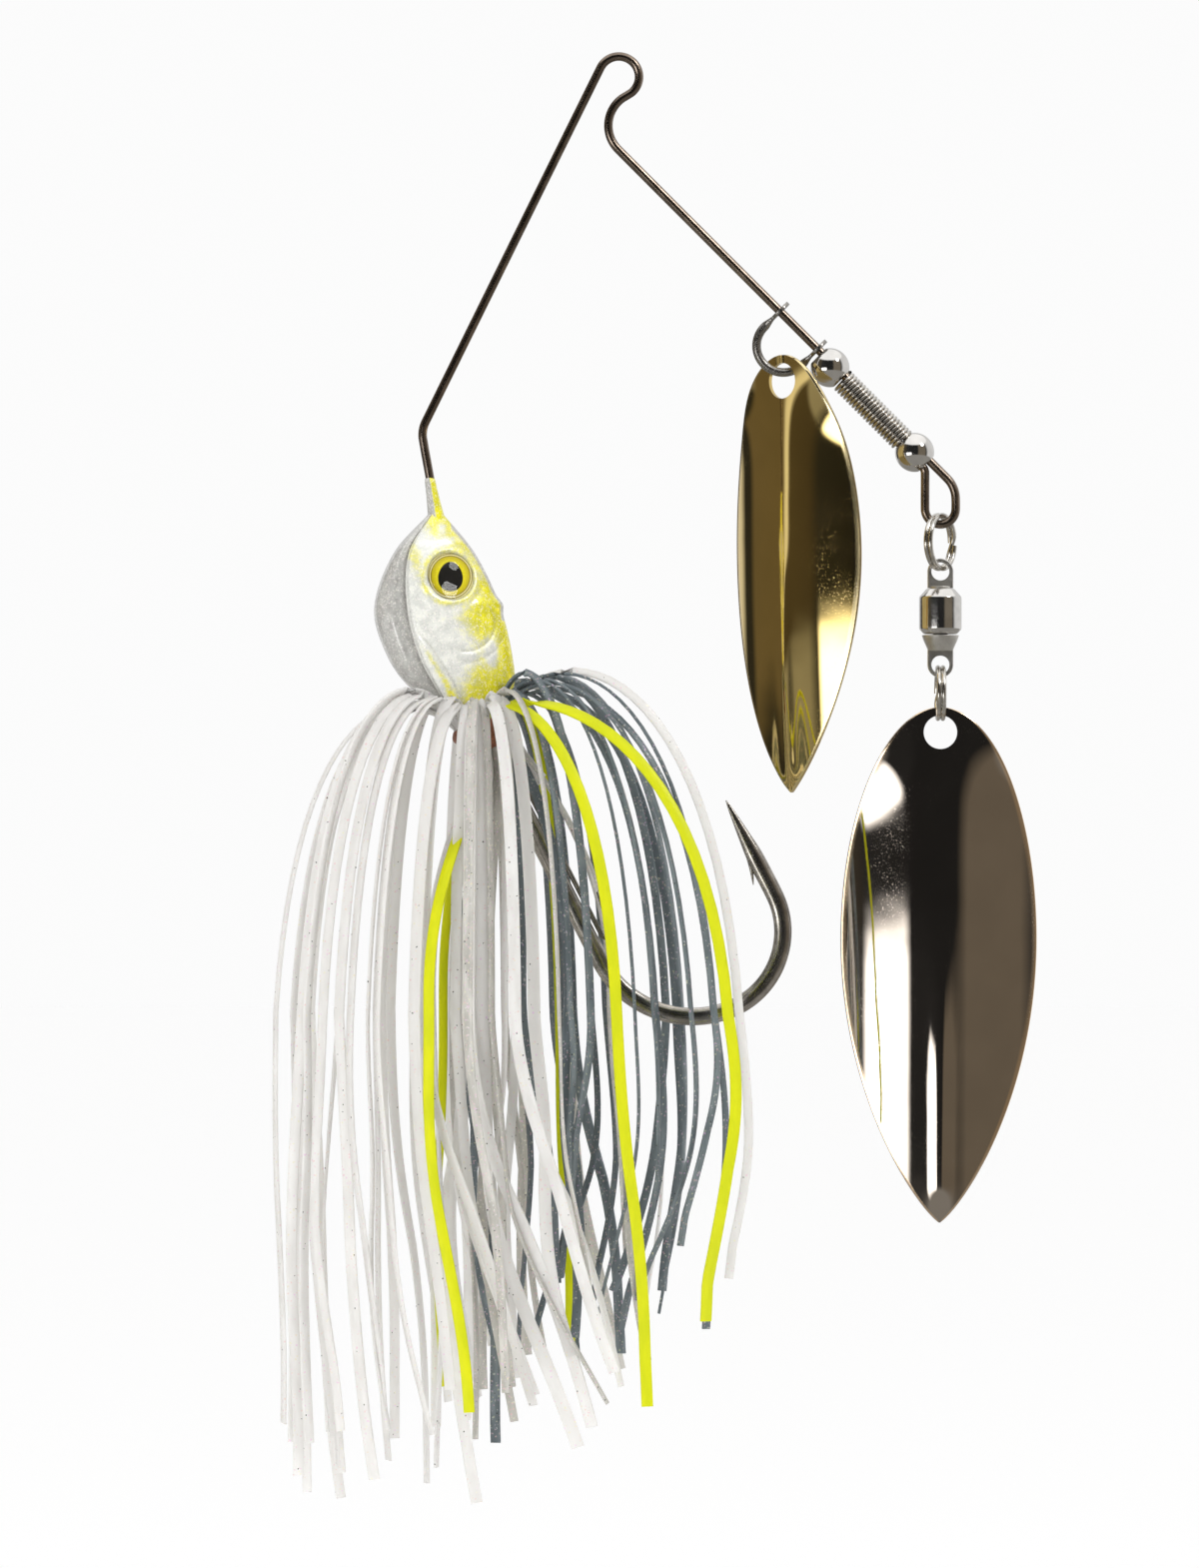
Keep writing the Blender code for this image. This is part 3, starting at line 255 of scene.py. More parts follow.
class Shape:
    """Vertices and faces of one piece as it grows. flow is a point's place in the piece's own straight
    layout, for drawn streaks and flakes, and tint is one number for each strand or shell."""

    def __init__(self):
        self.points = []
        self.faces = []
        self.flow = []
        self.tint = []

    def add(self, rings, flow=None, tint=0.0, looped=False):
        """Join equal rings of points with quads. The ends are capped, or joined to each other if looped."""
        first = len(self.points)
        count = len(rings[0])
        for i, ring in enumerate(rings):
            self.points += [tuple(point) for point in ring]
            self.flow += [tuple(point) for point in (flow[i] if flow else ring)]
            self.tint += [tint] * count
        spans = len(rings) if looped else len(rings) - 1
        for i in range(spans):
            a = first + i * count
            b = first + (i + 1) % len(rings) * count
            for j in range(count):
                k = (j + 1) % count
                self.faces.append((a + j, a + k, b + k, b + j))
        if not looped:
            self.faces.append(tuple(first + j for j in reversed(range(count))))
            last = first + (len(rings) - 1) * count
            self.faces.append(tuple(last + j for j in range(count)))
        return self

    def tube(self, points, radius, sides=20, across=ACROSS):
        """Round tube. radius is one number, or one for each point."""
        turns = [2.0 * math.pi * k / sides for k in range(sides)]
        travelled = lengths_along(points)
        rings = []
        flow = []
        for i, (side, up) in enumerate(path_frames(points, across)):
            size = radius[i] if isinstance(radius, (list, tuple)) else radius
            rings.append([points[i] + (side * math.cos(a) + up * math.sin(a)) * size for a in turns])
            flow.append([(size * math.cos(a), size * math.sin(a), travelled[i]) for a in turns])
        return self.add(rings, flow)

    def lathe(self, profile, place, sides=64):
        """Turn a closed loop of (radius, height) pairs round local Z. Radii stay above zero."""
        return self.add([round_ring(place, radius, height, sides) for radius, height in profile], looped=True)

    def finish(self, name, material, body=None, replaces=(), slot=None, sharp=40.0):
        """Make the piece, hang it on its body's empty and hide the CAD nodes that it stands for."""
        mesh = bpy.data.meshes.new(name)
        mesh.from_pydata(self.points, [], self.faces)
        store(mesh, "flow", "FLOAT_VECTOR", self.flow)
        store(mesh, "tint", "FLOAT", self.tint)
        bm = bmesh.new()
        bm.from_mesh(mesh)
        bmesh.ops.recalc_face_normals(bm, faces=bm.faces)
        bm.to_mesh(mesh)
        bm.free()
        mesh.shade_smooth()
        mesh.set_sharp_from_angle(angle=math.radians(sharp))
        mesh.materials.append(material)
        piece = add_object(name, mesh)
        if body:
            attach(piece, body)
        if replaces:
            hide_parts(*replaces)
        return piece


def rounded_profile(corners, radius, steps=5):
    """Closed (radius, height) loop with each corner rounded. The loop starts and ends on the axis side."""
    result = []
    count = len(corners)
    for i in range(count):
        here = Vector(corners[i])
        before = Vector(corners[i - 1])
        after = Vector(corners[(i + 1) % count])
        reach = min(radius, (before - here).length * 0.45, (after - here).length * 0.45)
        start = here + (before - here).normalized() * reach
        end = here + (after - here).normalized() * reach
        for k in range(steps + 1):
            t = k / steps
            result.append(tuple(start * (1 - t) ** 2 + here * (2 * t * (1 - t)) + end * t**2))
    return result


def cut(piece, tool_shape):
    """Take a shape out of a piece and keep the result as its mesh."""
    tool = tool_shape.finish(piece.name + "_tool", piece.data.materials[0])
    modifier = piece.modifiers.new("cut", "BOOLEAN")
    modifier.solver = "EXACT"
    modifier.object = tool
    bake_modifiers(piece)
    bpy.data.objects.remove(tool, do_unlink=True)


def bake_modifiers(piece, sharp=40.0):
    depsgraph = bpy.context.evaluated_depsgraph_get()
    mesh = bpy.data.meshes.new_from_object(piece.evaluated_get(depsgraph))
    piece.modifiers.clear()
    piece.data = mesh
    mesh.shade_smooth()
    mesh.set_sharp_from_angle(angle=math.radians(sharp))


def drill(centre, direction, radius, length, sides=64):
    """Round tool that cuts a hole through centre."""
    place = axis_place(centre, direction)
    return Shape().add([round_ring(place, radius, height, sides) for height in (-length / 2, length / 2)])


# ---------------------------------------------------------------- materials


class Nodes:
    """A node tree, with short ways to add the nodes that the looks are made of."""

    def __init__(self, tree):
        self.tree = tree

    def feed(self, socket, value):
        """Link a socket to another node's output, or give it a plain value."""
        if isinstance(value, bpy.types.NodeSocket):
            self.tree.links.new(value, socket)
        else:
            socket.default_value = value

    def node(self, kind, settings=None, **inputs):
        """Add a node. An input called i0, i1 and so on is meant by its number."""
        node = self.tree.nodes.new("ShaderNode" + kind)
        for key, value in (settings or {}).items():
            setattr(node, key, value)
        for key, value in inputs.items():
            numbered = key[0] == "i" and key[1:].isdigit()
            self.feed(node.inputs[int(key[1:]) if numbered else key], value)
        return node

    def maths(self, operation, a, b=0.0):
        return self.node("Math", {"operation": operation}, i0=a, i1=b).outputs[0]

    def remap(self, value, low, high, new_low=0.0, new_high=1.0):
        """Smooth step of a value from one range to another."""
        smooth = {"interpolation_type": "SMOOTHSTEP"}
        return self.node("MapRange", smooth, i0=value, i1=low, i2=high, i3=new_low, i4=new_high).outputs[0]

    def mix(self, factor, a, b):
        """Blend of two colours."""
        made = self.node("Mix", {"data_type": "RGBA"}, i0=factor)
        for place, value in ((6, a), (7, b)):
            self.feed(made.inputs[place], value if isinstance(value, bpy.types.NodeSocket) else (*value, 1.0))
        return made.outputs[2]


class Look(Nodes):
    """A Principled material, with short ways to add its detail."""

    def __init__(self, name, colour, roughness, metallic=0.0, **inputs):
        self.material = bpy.data.materials.new(name)
        self.material.use_nodes = True
        super().__init__(self.material.node_tree)
        self.shader = self.tree.nodes["Principled BSDF"]
        self.output = self.tree.nodes["Material Output"]
        self.material.diffuse_color = (*colour, 1.0)
        self.set("Base Color", (*colour, 1.0))
        self.set("Roughness", roughness)
        self.set("Metallic", metallic)
        for key, value in inputs.items():
            self.set(key.replace("_", " ").title().replace("Ior", "IOR"), value)

    def set(self, name, value):
        self.feed(self.shader.inputs[name], value)

    def attribute(self, name):
        return self.node("Attribute", {"attribute_name": name})

    def flow(self):
        return self.attribute("flow").outputs["Vector"]

    def share(self, name):
        return self.attribute(name).outputs["Fac"]

    def place(self):
        return self.node("TexCoord").outputs["Object"]

    def scaled(self, vector, scale):
        return self.node("Mapping", None, Vector=vector, Scale=scale).outputs[0]

    def noise(self, vector, size, detail=3.0, roughness=0.55):
        """Soft noise with features of about this size."""
        grain = {"Vector": vector, "Scale": 1.0 / size, "Detail": detail, "Roughness": roughness}
        return self.node("TexNoise", None, **grain).outputs["Fac"]

    def cells(self, vector, size):
        """Colour that is random in each cell of about this size."""
        return self.node("TexVoronoi", None, Vector=vector, Scale=1.0 / size).outputs["Color"]

    def bump(self, height, distance, strength=1.0):
        made = self.node("Bump", None, Height=height, Distance=distance, Strength=strength)
        self.set("Normal", made.outputs[0])

    def flakes(self, vector, size, share):
        """1 on a random share of small cells, and the cells' random colours."""
        colour = self.cells(vector, size)
        red = self.node("SeparateColor", None, Color=colour).outputs[0]
        return self.remap(red, 1.0 - share, 1.0 - share * 0.8), colour

    def blend_shaders(self, factor, first, second):
        """Send a mix of two shaders to the surface."""
        mixed = self.node("MixShader", None, Fac=factor, i1=first.outputs[0], i2=second.outputs[0])
        self.feed(self.output.inputs["Surface"], mixed.outputs[0])


def toned(colour, factor):
    """A colour made darker or brighter."""
    return tuple(min(1.0, channel * factor) for channel in colour)


def drawn_wire(name, colour, roughness, streak=0.35):
    """Drawn and plated wire: fine lines along it, small stains and a soft wear pattern."""
    look = Look(name, colour, roughness, 1.0)
    along = look.scaled(look.flow(), (1.0, 1.0, 0.015))
    lines = look.noise(along, 0.22 * MM, 2.0)
    stains = look.noise(look.flow(), 1.6 * MM, 4.0)
    dark = toned(colour, 0.74)
    bright = toned(colour, 1.22)
    stained = look.mix(look.remap(stains, 0.38, 0.66), dark, bright)
    look.set("Base Color", look.mix(streak, stained, look.mix(look.remap(lines, 0.3, 0.7), dark, bright)))
    look.set("Roughness", look.remap(lines, 0.25, 0.75, roughness * 0.75, roughness * 1.3))
    look.bump(lines, 0.002 * MM, 0.2)
    return look.material


def plated(name, colour, roughness, ripple=0.006):
    """Bright plating on a pressed or turned piece: nearly a mirror, with slight waves and fine pits."""
    look = Look(name, colour, roughness, 1.0)
    waves = look.noise(look.place(), 1.3 * MM, 2.0)
    pits = look.noise(look.place(), 0.12 * MM, 3.0)
    look.set("Roughness", look.remap(pits, 0.45, 0.75, roughness, roughness * 2.6))
    look.set("Base Color", look.mix(look.remap(waves, 0.3, 0.7), toned(colour, 0.88), colour))
    look.bump(look.maths("ADD", waves, look.maths("MULTIPLY", pits, 0.12)), ripple * MM)
    return look.material


def blade_plate(name, colour, rim_colour):
    """Mirror plate of a blade: a paler, rougher rim, light waves of the pressing and specks that scatter."""
    look = Look(name, colour, 0.045, 1.0)
    place = look.place()
    waves = look.noise(place, 5.0 * MM, 1.0)
    specks = look.noise(place, 0.16 * MM, 2.0)
    patches = look.noise(place, 6.0 * MM, 2.0)
    speckled = look.maths("MULTIPLY", look.remap(specks, 0.60, 0.72), look.remap(patches, 0.42, 0.62))
    # The rim, where tint nears 1, gets a paler colour and more roughness.
    pale_rim = look.remap(look.share("tint"), 0.955, 0.99)
    plate = look.mix(look.remap(patches, 0.3, 0.7), toned(colour, 0.93), colour)
    look.set("Base Color", look.mix(pale_rim, plate, rim_colour))
    rough = look.maths("ADD", look.maths("MULTIPLY", speckled, 0.16), look.remap(waves, 0.3, 0.7, 0.03, 0.06))
    look.set("Roughness", look.maths("ADD", rough, look.maths("MULTIPLY", pale_rim, 0.12)))
    look.bump(look.maths("ADD", waves, look.maths("MULTIPLY", speckled, 0.02)), 0.08 * MM, 0.22)
    return look.material


def silicone(name, colour, deep, flake=None, flake_share=0.0, see_through=0.3):
    """Moulded silicone strand: lets light through, with flakes in it, mould lines and a soft shine."""
    look = Look(name, colour, 0.38, 0.0, specular_ior_level=0.42)
    flow = look.flow()
    clouds = look.noise(look.scaled(flow, (1.0, 1.0, 0.25)), 1.1 * MM, 3.0)
    base = look.mix(look.remap(clouds, 0.3, 0.72), deep, colour)
    base = look.mix(look.remap(look.share("tint"), 0.0, 1.0, 0.0, 0.6), base, deep)
    if flake:
        shine, random_colour = look.flakes(flow, 0.15 * MM, flake_share)
        dark = look.flakes(look.scaled(flow, (1.3, 1.3, 1.3)), 0.15 * MM, flake_share * 0.035)[0]
        base = look.mix(look.maths("MULTIPLY", shine, 0.7), base, look.mix(0.3, flake, random_colour))
        base = look.mix(dark, base, (0.05, 0.05, 0.05))
        look.set("Metallic", look.maths("MULTIPLY", shine, 0.15))
        look.set("Roughness", look.remap(shine, 0.0, 1.0, 0.42, 0.25))
    look.set("Base Color", base)
    lines = look.noise(look.scaled(flow, (1.0, 1.0, 0.03)), 0.10 * MM, 2.0)
    look.bump(look.maths("ADD", lines, look.maths("MULTIPLY", clouds, 0.6)), 0.02 * MM, 0.6)
    look.blend_shaders(see_through, look.shader, look.node("BsdfTranslucent", None, Color=base))
    return look.material


def rubber(name, colour):
    look = Look(name, colour, 0.55, 0.0, specular_ior_level=0.35)
    grain = look.noise(look.place(), 0.25 * MM, 4.0)
    look.set("Base Color", look.mix(look.remap(grain, 0.35, 0.7), toned(colour, 0.6), colour))
    look.bump(grain, 0.03 * MM, 0.7)
    return look.material


def head_paint():
    """Pearl paint over the casting. Vertex attributes say where it is yellow, grey or darkened with painted
    shade.
    """
    look = Look("head_paint", (0.86, 0.87, 0.80), 0.28, 0.0, coat_weight=1.0, coat_roughness=0.04)
    place = look.place()
    mottle = look.noise(place, 0.9 * MM, 4.0)
    fine = look.noise(place, 0.30 * MM, 3.0)
    shine, flake_colour = look.flakes(place, 0.10 * MM, 0.16)
    pearl = look.mix(look.remap(mottle, 0.35, 0.7), (0.60, 0.61, 0.57), (0.76, 0.765, 0.71))
    yellow = look.mix(look.remap(mottle, 0.3, 0.72), (0.56, 0.53, 0.02), (0.80, 0.74, 0.01))
    yellow = look.mix(look.remap(fine, 0.60, 0.78), yellow, (0.86, 0.84, 0.40))
    grey = look.mix(look.remap(mottle, 0.3, 0.7), (0.36, 0.35, 0.33), (0.46, 0.46, 0.43))
    close = look.maths("MULTIPLY", look.maths("SUBTRACT", fine, 0.5), 0.7)
    wide = look.maths("MULTIPLY", look.maths("SUBTRACT", mottle, 0.5), 0.6)
    wobble = look.maths("ADD", close, wide)
    yellow_edge = look.maths("ADD", look.share("yellow"), wobble)
    grey_edge = look.maths("ADD", look.share("grey"), look.maths("MULTIPLY", wobble, 0.35))
    colour = look.mix(look.remap(yellow_edge, 0.12, 0.92), pearl, yellow)
    colour = look.mix(look.remap(grey_edge, 0.30, 0.70), colour, grey)
    # Painted shade: a dark olive laid along the gill grooves, round the eye socket's rim and along the jaw
    # line.
    colour = look.mix(look.share("painted_shade"), colour, (0.22, 0.21, 0.12))
    sparkle = look.mix(0.15, (0.98, 0.98, 0.92), flake_colour)
    colour = look.mix(look.maths("MULTIPLY", shine, 0.45), colour, sparkle)
    look.set("Base Color", colour)
    look.set("Metallic", 0.12)
    look.set("Roughness", look.remap(fine, 0.3, 0.7, 0.24, 0.36))
    look.bump(look.maths("ADD", fine, look.maths("MULTIPLY", mottle, 1.2)), 0.025 * MM, 0.5)
    return look.material


def eye_foil_look():
    """Printed foil: black pupil, gold iris and a pale ring between two thin dark lines."""
    look = Look("eye_foil", (0.85, 0.62, 0.03), 0.45, 0.15, specular_ior_level=0.12)
    flow = look.flow()
    parts = look.node("SeparateXYZ", None, Vector=flow)
    radius = look.node("VectorMath", {"operation": "LENGTH"}, i0=flow).outputs["Value"]
    wide = look.maths("MULTIPLY", parts.outputs[0], 1.82)
    tall = look.maths("MULTIPLY", look.maths("ADD", parts.outputs[1], 0.02), 1.55)
    drop = look.maths("MULTIPLY", look.maths("MULTIPLY", parts.outputs[0], parts.outputs[1]), 0.35)
    oval = look.node("CombineXYZ", None, X=look.maths("ADD", wide, drop), Y=tall)
    pupil_radius = look.node("VectorMath", {"operation": "LENGTH"}, i0=oval.outputs[0]).outputs["Value"]
    grain = look.noise(look.scaled(flow, (6.0, 6.0, 1.0)), 0.35, 4.0)
    iris = look.mix(look.remap(grain, 0.3, 0.7), (0.74, 0.62, 0.01), (0.90, 0.80, 0.03))
    iris = look.mix(look.remap(radius, 0.60, 0.86), iris, (0.60, 0.49, 0.01))
    ring = look.remap(radius, 0.86, 0.89)
    colour = look.mix(ring, iris, (0.92, 0.84, 0.40))
    for at in (0.875, 0.965):
        line = look.remap(look.maths("ABSOLUTE", look.maths("SUBTRACT", radius, at)), 0.012, 0.028, 1.0, 0.0)
        colour = look.mix(look.maths("MULTIPLY", line, 0.85), colour, (0.20, 0.13, 0.01))
    pupil = look.remap(pupil_radius, 0.97, 1.03, 1.0, 0.0)
    look.set("Base Color", look.mix(pupil, colour, (0.004, 0.004, 0.004)))
    look.set("Metallic", look.remap(pupil, 0.0, 1.0, 0.2, 0.0))
    look.bump(grain, 0.01 * MM, 0.4)
    return look.material


def clear_resin():
    """Clear dome: lets everything through and mirrors more towards its edge."""
    look = Look("eye_dome", (1.0, 1.0, 1.0), 0.02, 0.0)
    clear = look.node("BsdfTransparent", None, Color=(0.985, 0.985, 0.975, 1.0))
    ripple = look.noise(look.place(), 1.2 * MM, 1.0)
    normal = look.node("Bump", None, Height=ripple, Distance=0.02 * MM).outputs[0]
    gloss = look.node("BsdfGlossy", None, Color=(0.4, 0.4, 0.4, 1.0), Roughness=0.03, Normal=normal)
    edge = look.node("Fresnel", None, IOR=1.5, Normal=normal)
    look.blend_shaders(look.maths("MINIMUM", edge.outputs[0], 0.30), clear, gloss)
    return look.material


# ---------------------------------------------------------------- wire form


def wire_path():
    """Centre line of the bent wire from the link in the hook's eye to the tail's end, and its radius."""
    rings = sweep_rings("wire_form")
    centres = ring_centres(rings)
    if centres[0].x > centres[-1].x:
        centres.reverse()
    points = [Vector(point) for point in spline(centres, 6)]
    return points, ring_radius(rings[4])


def add_wire_form(look):
    points, radius = wire_path()
    Shape().tube(points, radius).finish("bent_wire", look, "wire_and_head", ["wire_form"], "wire", 60.0)


# ---------------------------------------------------------------- head

# Side view of the casting in millimetres, as (drop below the nose, distance behind the nose).
BELLY = [(0.0, -0.73), (4.1, -4.33), (9.7, -6.23), (14.7, -5.03), (17.7, -3.03), (19.1, -0.03)]
CREASE = [(0.0, -0.33), (4.1, -2.63), (9.7, -2.73), (14.7, -1.43), (17.7, 0.37), (19.1, 1.57)]
BACK = [(0.0, 0.77), (4.1, 4.07), (9.7, 6.67), (15.7, 7.97), (18.3, 7.87), (19.1, 6.97)]
HALF_THICKNESS = [(0.0, 0.72), (3.7, 3.5), (8.7, 4.8), (14.7, 4.8), (18.1, 3.9), (19.1, 3.3)]
HEAD_ROWS = 150
KEEL_COLUMNS = 44
CHEEK_COLUMNS = 92
EYE_SIDES = 72


def curve_value(knots, steps=24):
    """Function of drop that follows a smooth curve through knots."""
    line = np.array(spline(knots, steps))
    return lambda drop: np.interp(drop, line[:, 0], line[:, 1])


def groove(distance, width, depth):
    """Soft valley of this width along a line."""
    return -depth * np.exp(-((distance / width) ** 2))


def arc_distance(a, b, centre, radius, first, last):
    """Distance from an arc between two angles in degrees, and a share that fades out past its ends."""
    across = a - centre[0]
    up = b - centre[1]
    distance = np.hypot(across, up) - radius
    angle = np.degrees(np.arctan2(up, across))
    middle = (first + last) / 2
    half = abs(last - first) / 2
    past = np.abs((angle - middle + 180.0) % 360.0 - 180.0) - half
    fade = 1.0 / (1.0 + np.exp(past / 7.0))
    return distance, fade


def line_distance(a, b, knots):
    """Signed sideways distance, at the same height, from a line given as (height, across) knots."""
    line = np.array(spline(knots, 12))
    order = np.argsort(line[:, 0])
    return a - np.interp(b, line[order, 0], line[order, 1])


# Details of the cheek, in millimetres from the eye's centre, +across to the back and +up to the nose.
# A gill line is an arc: (radius, first and last angle, width and depth of its groove, share of the painted
# shade laid along it).
GILL_CENTRE = (1.6, -4.7)
GILL_LINES = ((2.85, -104.0, 40.0, 0.26, 0.12, 0.34), (3.95, -98.0, 0.0, 0.30, 0.08, 0.20))
BACK_HEIGHTS = (-13.0, -10.0, -8.0, -6.5, -4.5, -2.5, 0.0, 2.2, 3.6, 5.0)
BACK_YELLOW = (0.6, 1.9, 3.3, 2.7, 1.0, 1.9, 2.5, 1.3, -1.2, -2.6)
JAW_LINE = [(-5.6, -3.3), (-7.0, -2.0), (-8.7, -0.9), (-10.7, 0.3), (-13.6, 1.5)]


def spot(a, b, centre, size):
    """Soft oval patch, 1 in its middle."""
    return np.exp(-(((a - centre[0]) / size[0]) ** 2) - ((b - centre[1]) / size[1]) ** 2)


def cheek_relief(a, b):
    """How far the cast details stand out of the cheek, in millimetres."""
    relief = np.zeros_like(a)
    for radius, first, last, width, depth, _ in GILL_LINES:
        distance, fade = arc_distance(a, b, GILL_CENTRE, radius, first, last)
        relief += groove(distance, width, depth) * fade
        relief -= groove(distance - 0.60, 0.50, depth * 0.35) * fade
    jaw = line_distance(a, b, JAW_LINE)
    below = 1.0 / (1.0 + np.exp((b + 6.2) / 0.35))
    relief += (groove(jaw, 0.22, 0.22) - groove(jaw + 0.75, 0.55, 0.18)) * below
    eye = np.hypot(a, b)
    relief -= groove(eye - 2.70, 0.36, 0.20)
    relief += groove(eye - 3.30, 0.34, 0.07)
    return relief + 0.12 * spot(a, b, (0.6, 3.6), (1.6, 0.55))


def paint_masks(a, b, y, keel):
    """Yellow, grey and painted shade shares at points of the head."""
    eye = np.hypot(a, b)
    back_line = np.interp(b, BACK_HEIGHTS, BACK_YELLOW)
    yellow = 1.0 / (1.0 + np.exp((back_line - a) / 0.75))
    yellow = np.maximum(yellow, np.exp(-(((eye - 2.75) / 0.45) ** 2)) * 0.62)
    front_edge = np.exp(-(((a + 3.3 + 0.28 * (b - 1.0)) / 0.9) ** 2) - ((b - 2.0) / 3.2) ** 2)
    yellow = np.maximum(yellow, 0.62 * front_edge)
    # Painted highlight: the yellow is taken out of an upright patch behind and below the eye, leaving pale
    # pearl where a highlight lies.
    yellow = yellow - 0.85 * spot(a, b, (4.2, -7.6), (0.75, 1.7))
    yellow = yellow - 0.45 * spot(a, b, (0.2, 3.75), (1.3, 0.45))
    yellow = yellow - 0.6 * spot(a, b, (-0.9, 4.9), (0.5, 0.6))
    jaw = line_distance(a, b, JAW_LINE)
    streak = np.exp(-(((jaw + 0.75) / 0.42) ** 2)) / (1.0 + np.exp((b + 7.4) / 0.5))
    yellow = np.clip(yellow + 0.62 * streak, 0.0, 1.0)
    grey = np.where(keel, 1.0, 0.0)
    near_back = np.exp(-((y / 0.9) ** 2)) * (a > 0) * (b > -4.5)
    grey = np.maximum(grey, near_back)
    # Painted shade along the gill grooves, round the rim of the eye socket and along the jaw line.
    painted_shade = np.zeros_like(a)
    for radius, first, last, _, _, share in GILL_LINES:
        distance, fade = arc_distance(a, b, GILL_CENTRE, radius, first, last)
        painted_shade = np.maximum(painted_shade, share * np.exp(-((distance / 0.13) ** 2)) * fade)
    painted_shade = np.maximum(painted_shade, 0.35 * np.exp(-(((eye - 2.28) / 0.09) ** 2)))
    below = 1.0 / (1.0 + np.exp((b + 6.2) / 0.35))
    painted_shade = np.maximum(painted_shade, 0.28 * np.exp(-((jaw / 0.14) ** 2)) * below)
    return yellow, grey, painted_shade


def bottom_lift(across):
    """The cheek's lower edge dips to a point and rises to both sides of it, in millimetres."""
    return 1.7 * (abs(across - 2.6) / 5.4) ** 1.25 - 1.1


def head_sample(belly, crease, back, half):
    """One side of a ring of the head: (across, half thickness, on keel), from belly to back."""
    samples = []
    for k in range(KEEL_COLUMNS):
        v = math.cos(0.5 * math.pi * k / KEEL_COLUMNS)
        side = 0.76 * math.sqrt(max(0.0, 1.0 - v**2.4))
        fold = 0.05 * math.exp(-(((v - 0.50) / 0.14) ** 2)) - 0.03 * math.exp(-(((v - 0.25) / 0.12) ** 2))
        near = math.exp(-((v / 0.12) ** 2))
        stands_out = side * (1.0 - 0.10 * near) + fold * 0.6
        samples.append((crease + (belly - crease) * v, half * stands_out, True))
    for k in range(CHEEK_COLUMNS + 1):
        v = 0.5 - 0.5 * math.cos(math.pi * k / CHEEK_COLUMNS)
        side = (1.0 - 0.30 * v - 0.42 * v * v) * math.sqrt(max(0.0, 1.0 - v**9))
        lip = smooth_step(0.0, 0.05, v)
        samples.append((crease + (back - crease) * v, half * side * (0.80 + 0.20 * lip), False))
    return samples


def add_head(look):
    """Painted casting: a fish head with eye sockets, gill plates, a jaw line and a keel."""
    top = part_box("head_casting")[1].z
    wire = wire_path()[0]
    nose = min((p for p in wire if p.z < top + 2 * MM), key=lambda p: abs(p.z - top) + abs(p.y))
    eye, eye_normal, eye_radius = eye_place("right")
    belly, crease, back, half = (curve_value(knots) for knots in (BELLY, CREASE, BACK, HALF_THICKNESS))
    height = BELLY[-1][0]

    rings = []
    keel_flags = []
    for row in range(HEAD_ROWS + 1):
        drop = height * row / HEAD_ROWS
        nub = 0.35 * math.exp(-(((drop - 9.2) / 0.7) ** 2))
        side = head_sample(belly(drop), crease(drop), back(drop) + nub, half(drop))
        full = side + [(a, -y, keel) for a, y, keel in reversed(side[1:-1])]
        sag = (row / HEAD_ROWS) ** 4
        rings.append([(a, y, -drop + bottom_lift(a) * sag) for a, y, keel in full])
        keel_flags += [keel for a, y, keel in full]
    points = np.array(rings).reshape(-1, 3)
    points *= MM
    points[:, 0] += nose.x
    points[:, 2] += top

    a = (points[:, 0] - eye.x) / MM
    b = (points[:, 2] - eye.z) / MM
    y = points[:, 1] / MM
    keel = np.array(keel_flags)
    flatness = np.clip(np.abs(y) / 1.6, 0.0, 1.0)
    sides = np.sign(y)
    points[:, 1] += sides * np.where(keel, 0.0, cheek_relief(a, b)) * flatness * MM

    for sign in (1.0, -1.0):
        centre = np.array((eye.x, abs(eye.y) * sign, eye.z))
        normal = np.array((eye_normal.x, abs(eye_normal.y) * sign, eye_normal.z))
        offset = points - centre
        depth = offset @ normal
        radial = np.linalg.norm(offset - np.outer(depth, normal), axis=1)
        near = (points[:, 1] * sign > 0) & (radial < eye_radius + 0.9 * MM)
        floor = -0.16 * MM
        inside = 1.0 / (1.0 + np.exp((radial - eye_radius - 0.06 * MM) / (0.035 * MM)))
        push = np.where(near, inside * (floor - depth), 0.0)
        points += np.outer(push, normal)

    yellow, grey, painted_shade = paint_masks(a, b, y, keel)
    shape = Shape()
    count = len(rings[0])
    shape.add([points[i * count:(i + 1) * count] for i in range(len(rings))])
    head = shape.finish("painted_head", look, "wire_and_head", ["head_casting"], "head_paint", 70.0)
    paint_shares(head, yellow, grey, painted_shade)
    return nose


def paint_shares(piece, yellow, grey, painted_shade):
    """Say where a painted piece is yellow, grey or darkened with painted shade."""
    for name, values in (("yellow", yellow), ("grey", grey), ("painted_shade", painted_shade)):
        store(piece.data, name, "FLOAT", values)


def add_paint_sleeve(look, nose):
    """Paint that runs a little way up the wire from the nose, silver in front and yellow behind."""
    wire, wire_radius = wire_path()
    start = min(range(len(wire)), key=lambda i: (wire[i] - nose).length)
    steps = 26
    reach = 4.3 * MM
    direction = (wire[start + 6] - wire[start]).normalized()
    if direction.z < 0:
        direction = (wire[start - 6] - wire[start]).normalized()
    points = [nose + direction * (reach * i / steps - 0.6 * MM) for i in range(steps + 1)]
    radii = []
    for i in range(steps + 1):
        t = i / steps
        radii.append(wire_radius + (0.34 * (1.0 - t) ** 1.6 + 0.10 - 0.07 * smooth_step(0.9, 1.0, t)) * MM)
    sleeve = Shape().tube(points, radii, 32)
    piece = sleeve.finish("paint_sleeve", look, "wire_and_head", (), "head_paint", 60.0)
    corners = [vertex.co for vertex in piece.data.vertices]
    behind = [co.x - nose.x - direction.x * (co.z - nose.z) for co in corners]
    yellow = [smooth_step(-0.15 * MM, 0.15 * MM, distance) for distance in behind]
    paint_shares(piece, yellow, [0.85 * (1.0 - value) for value in yellow], [0.0] * len(yellow))


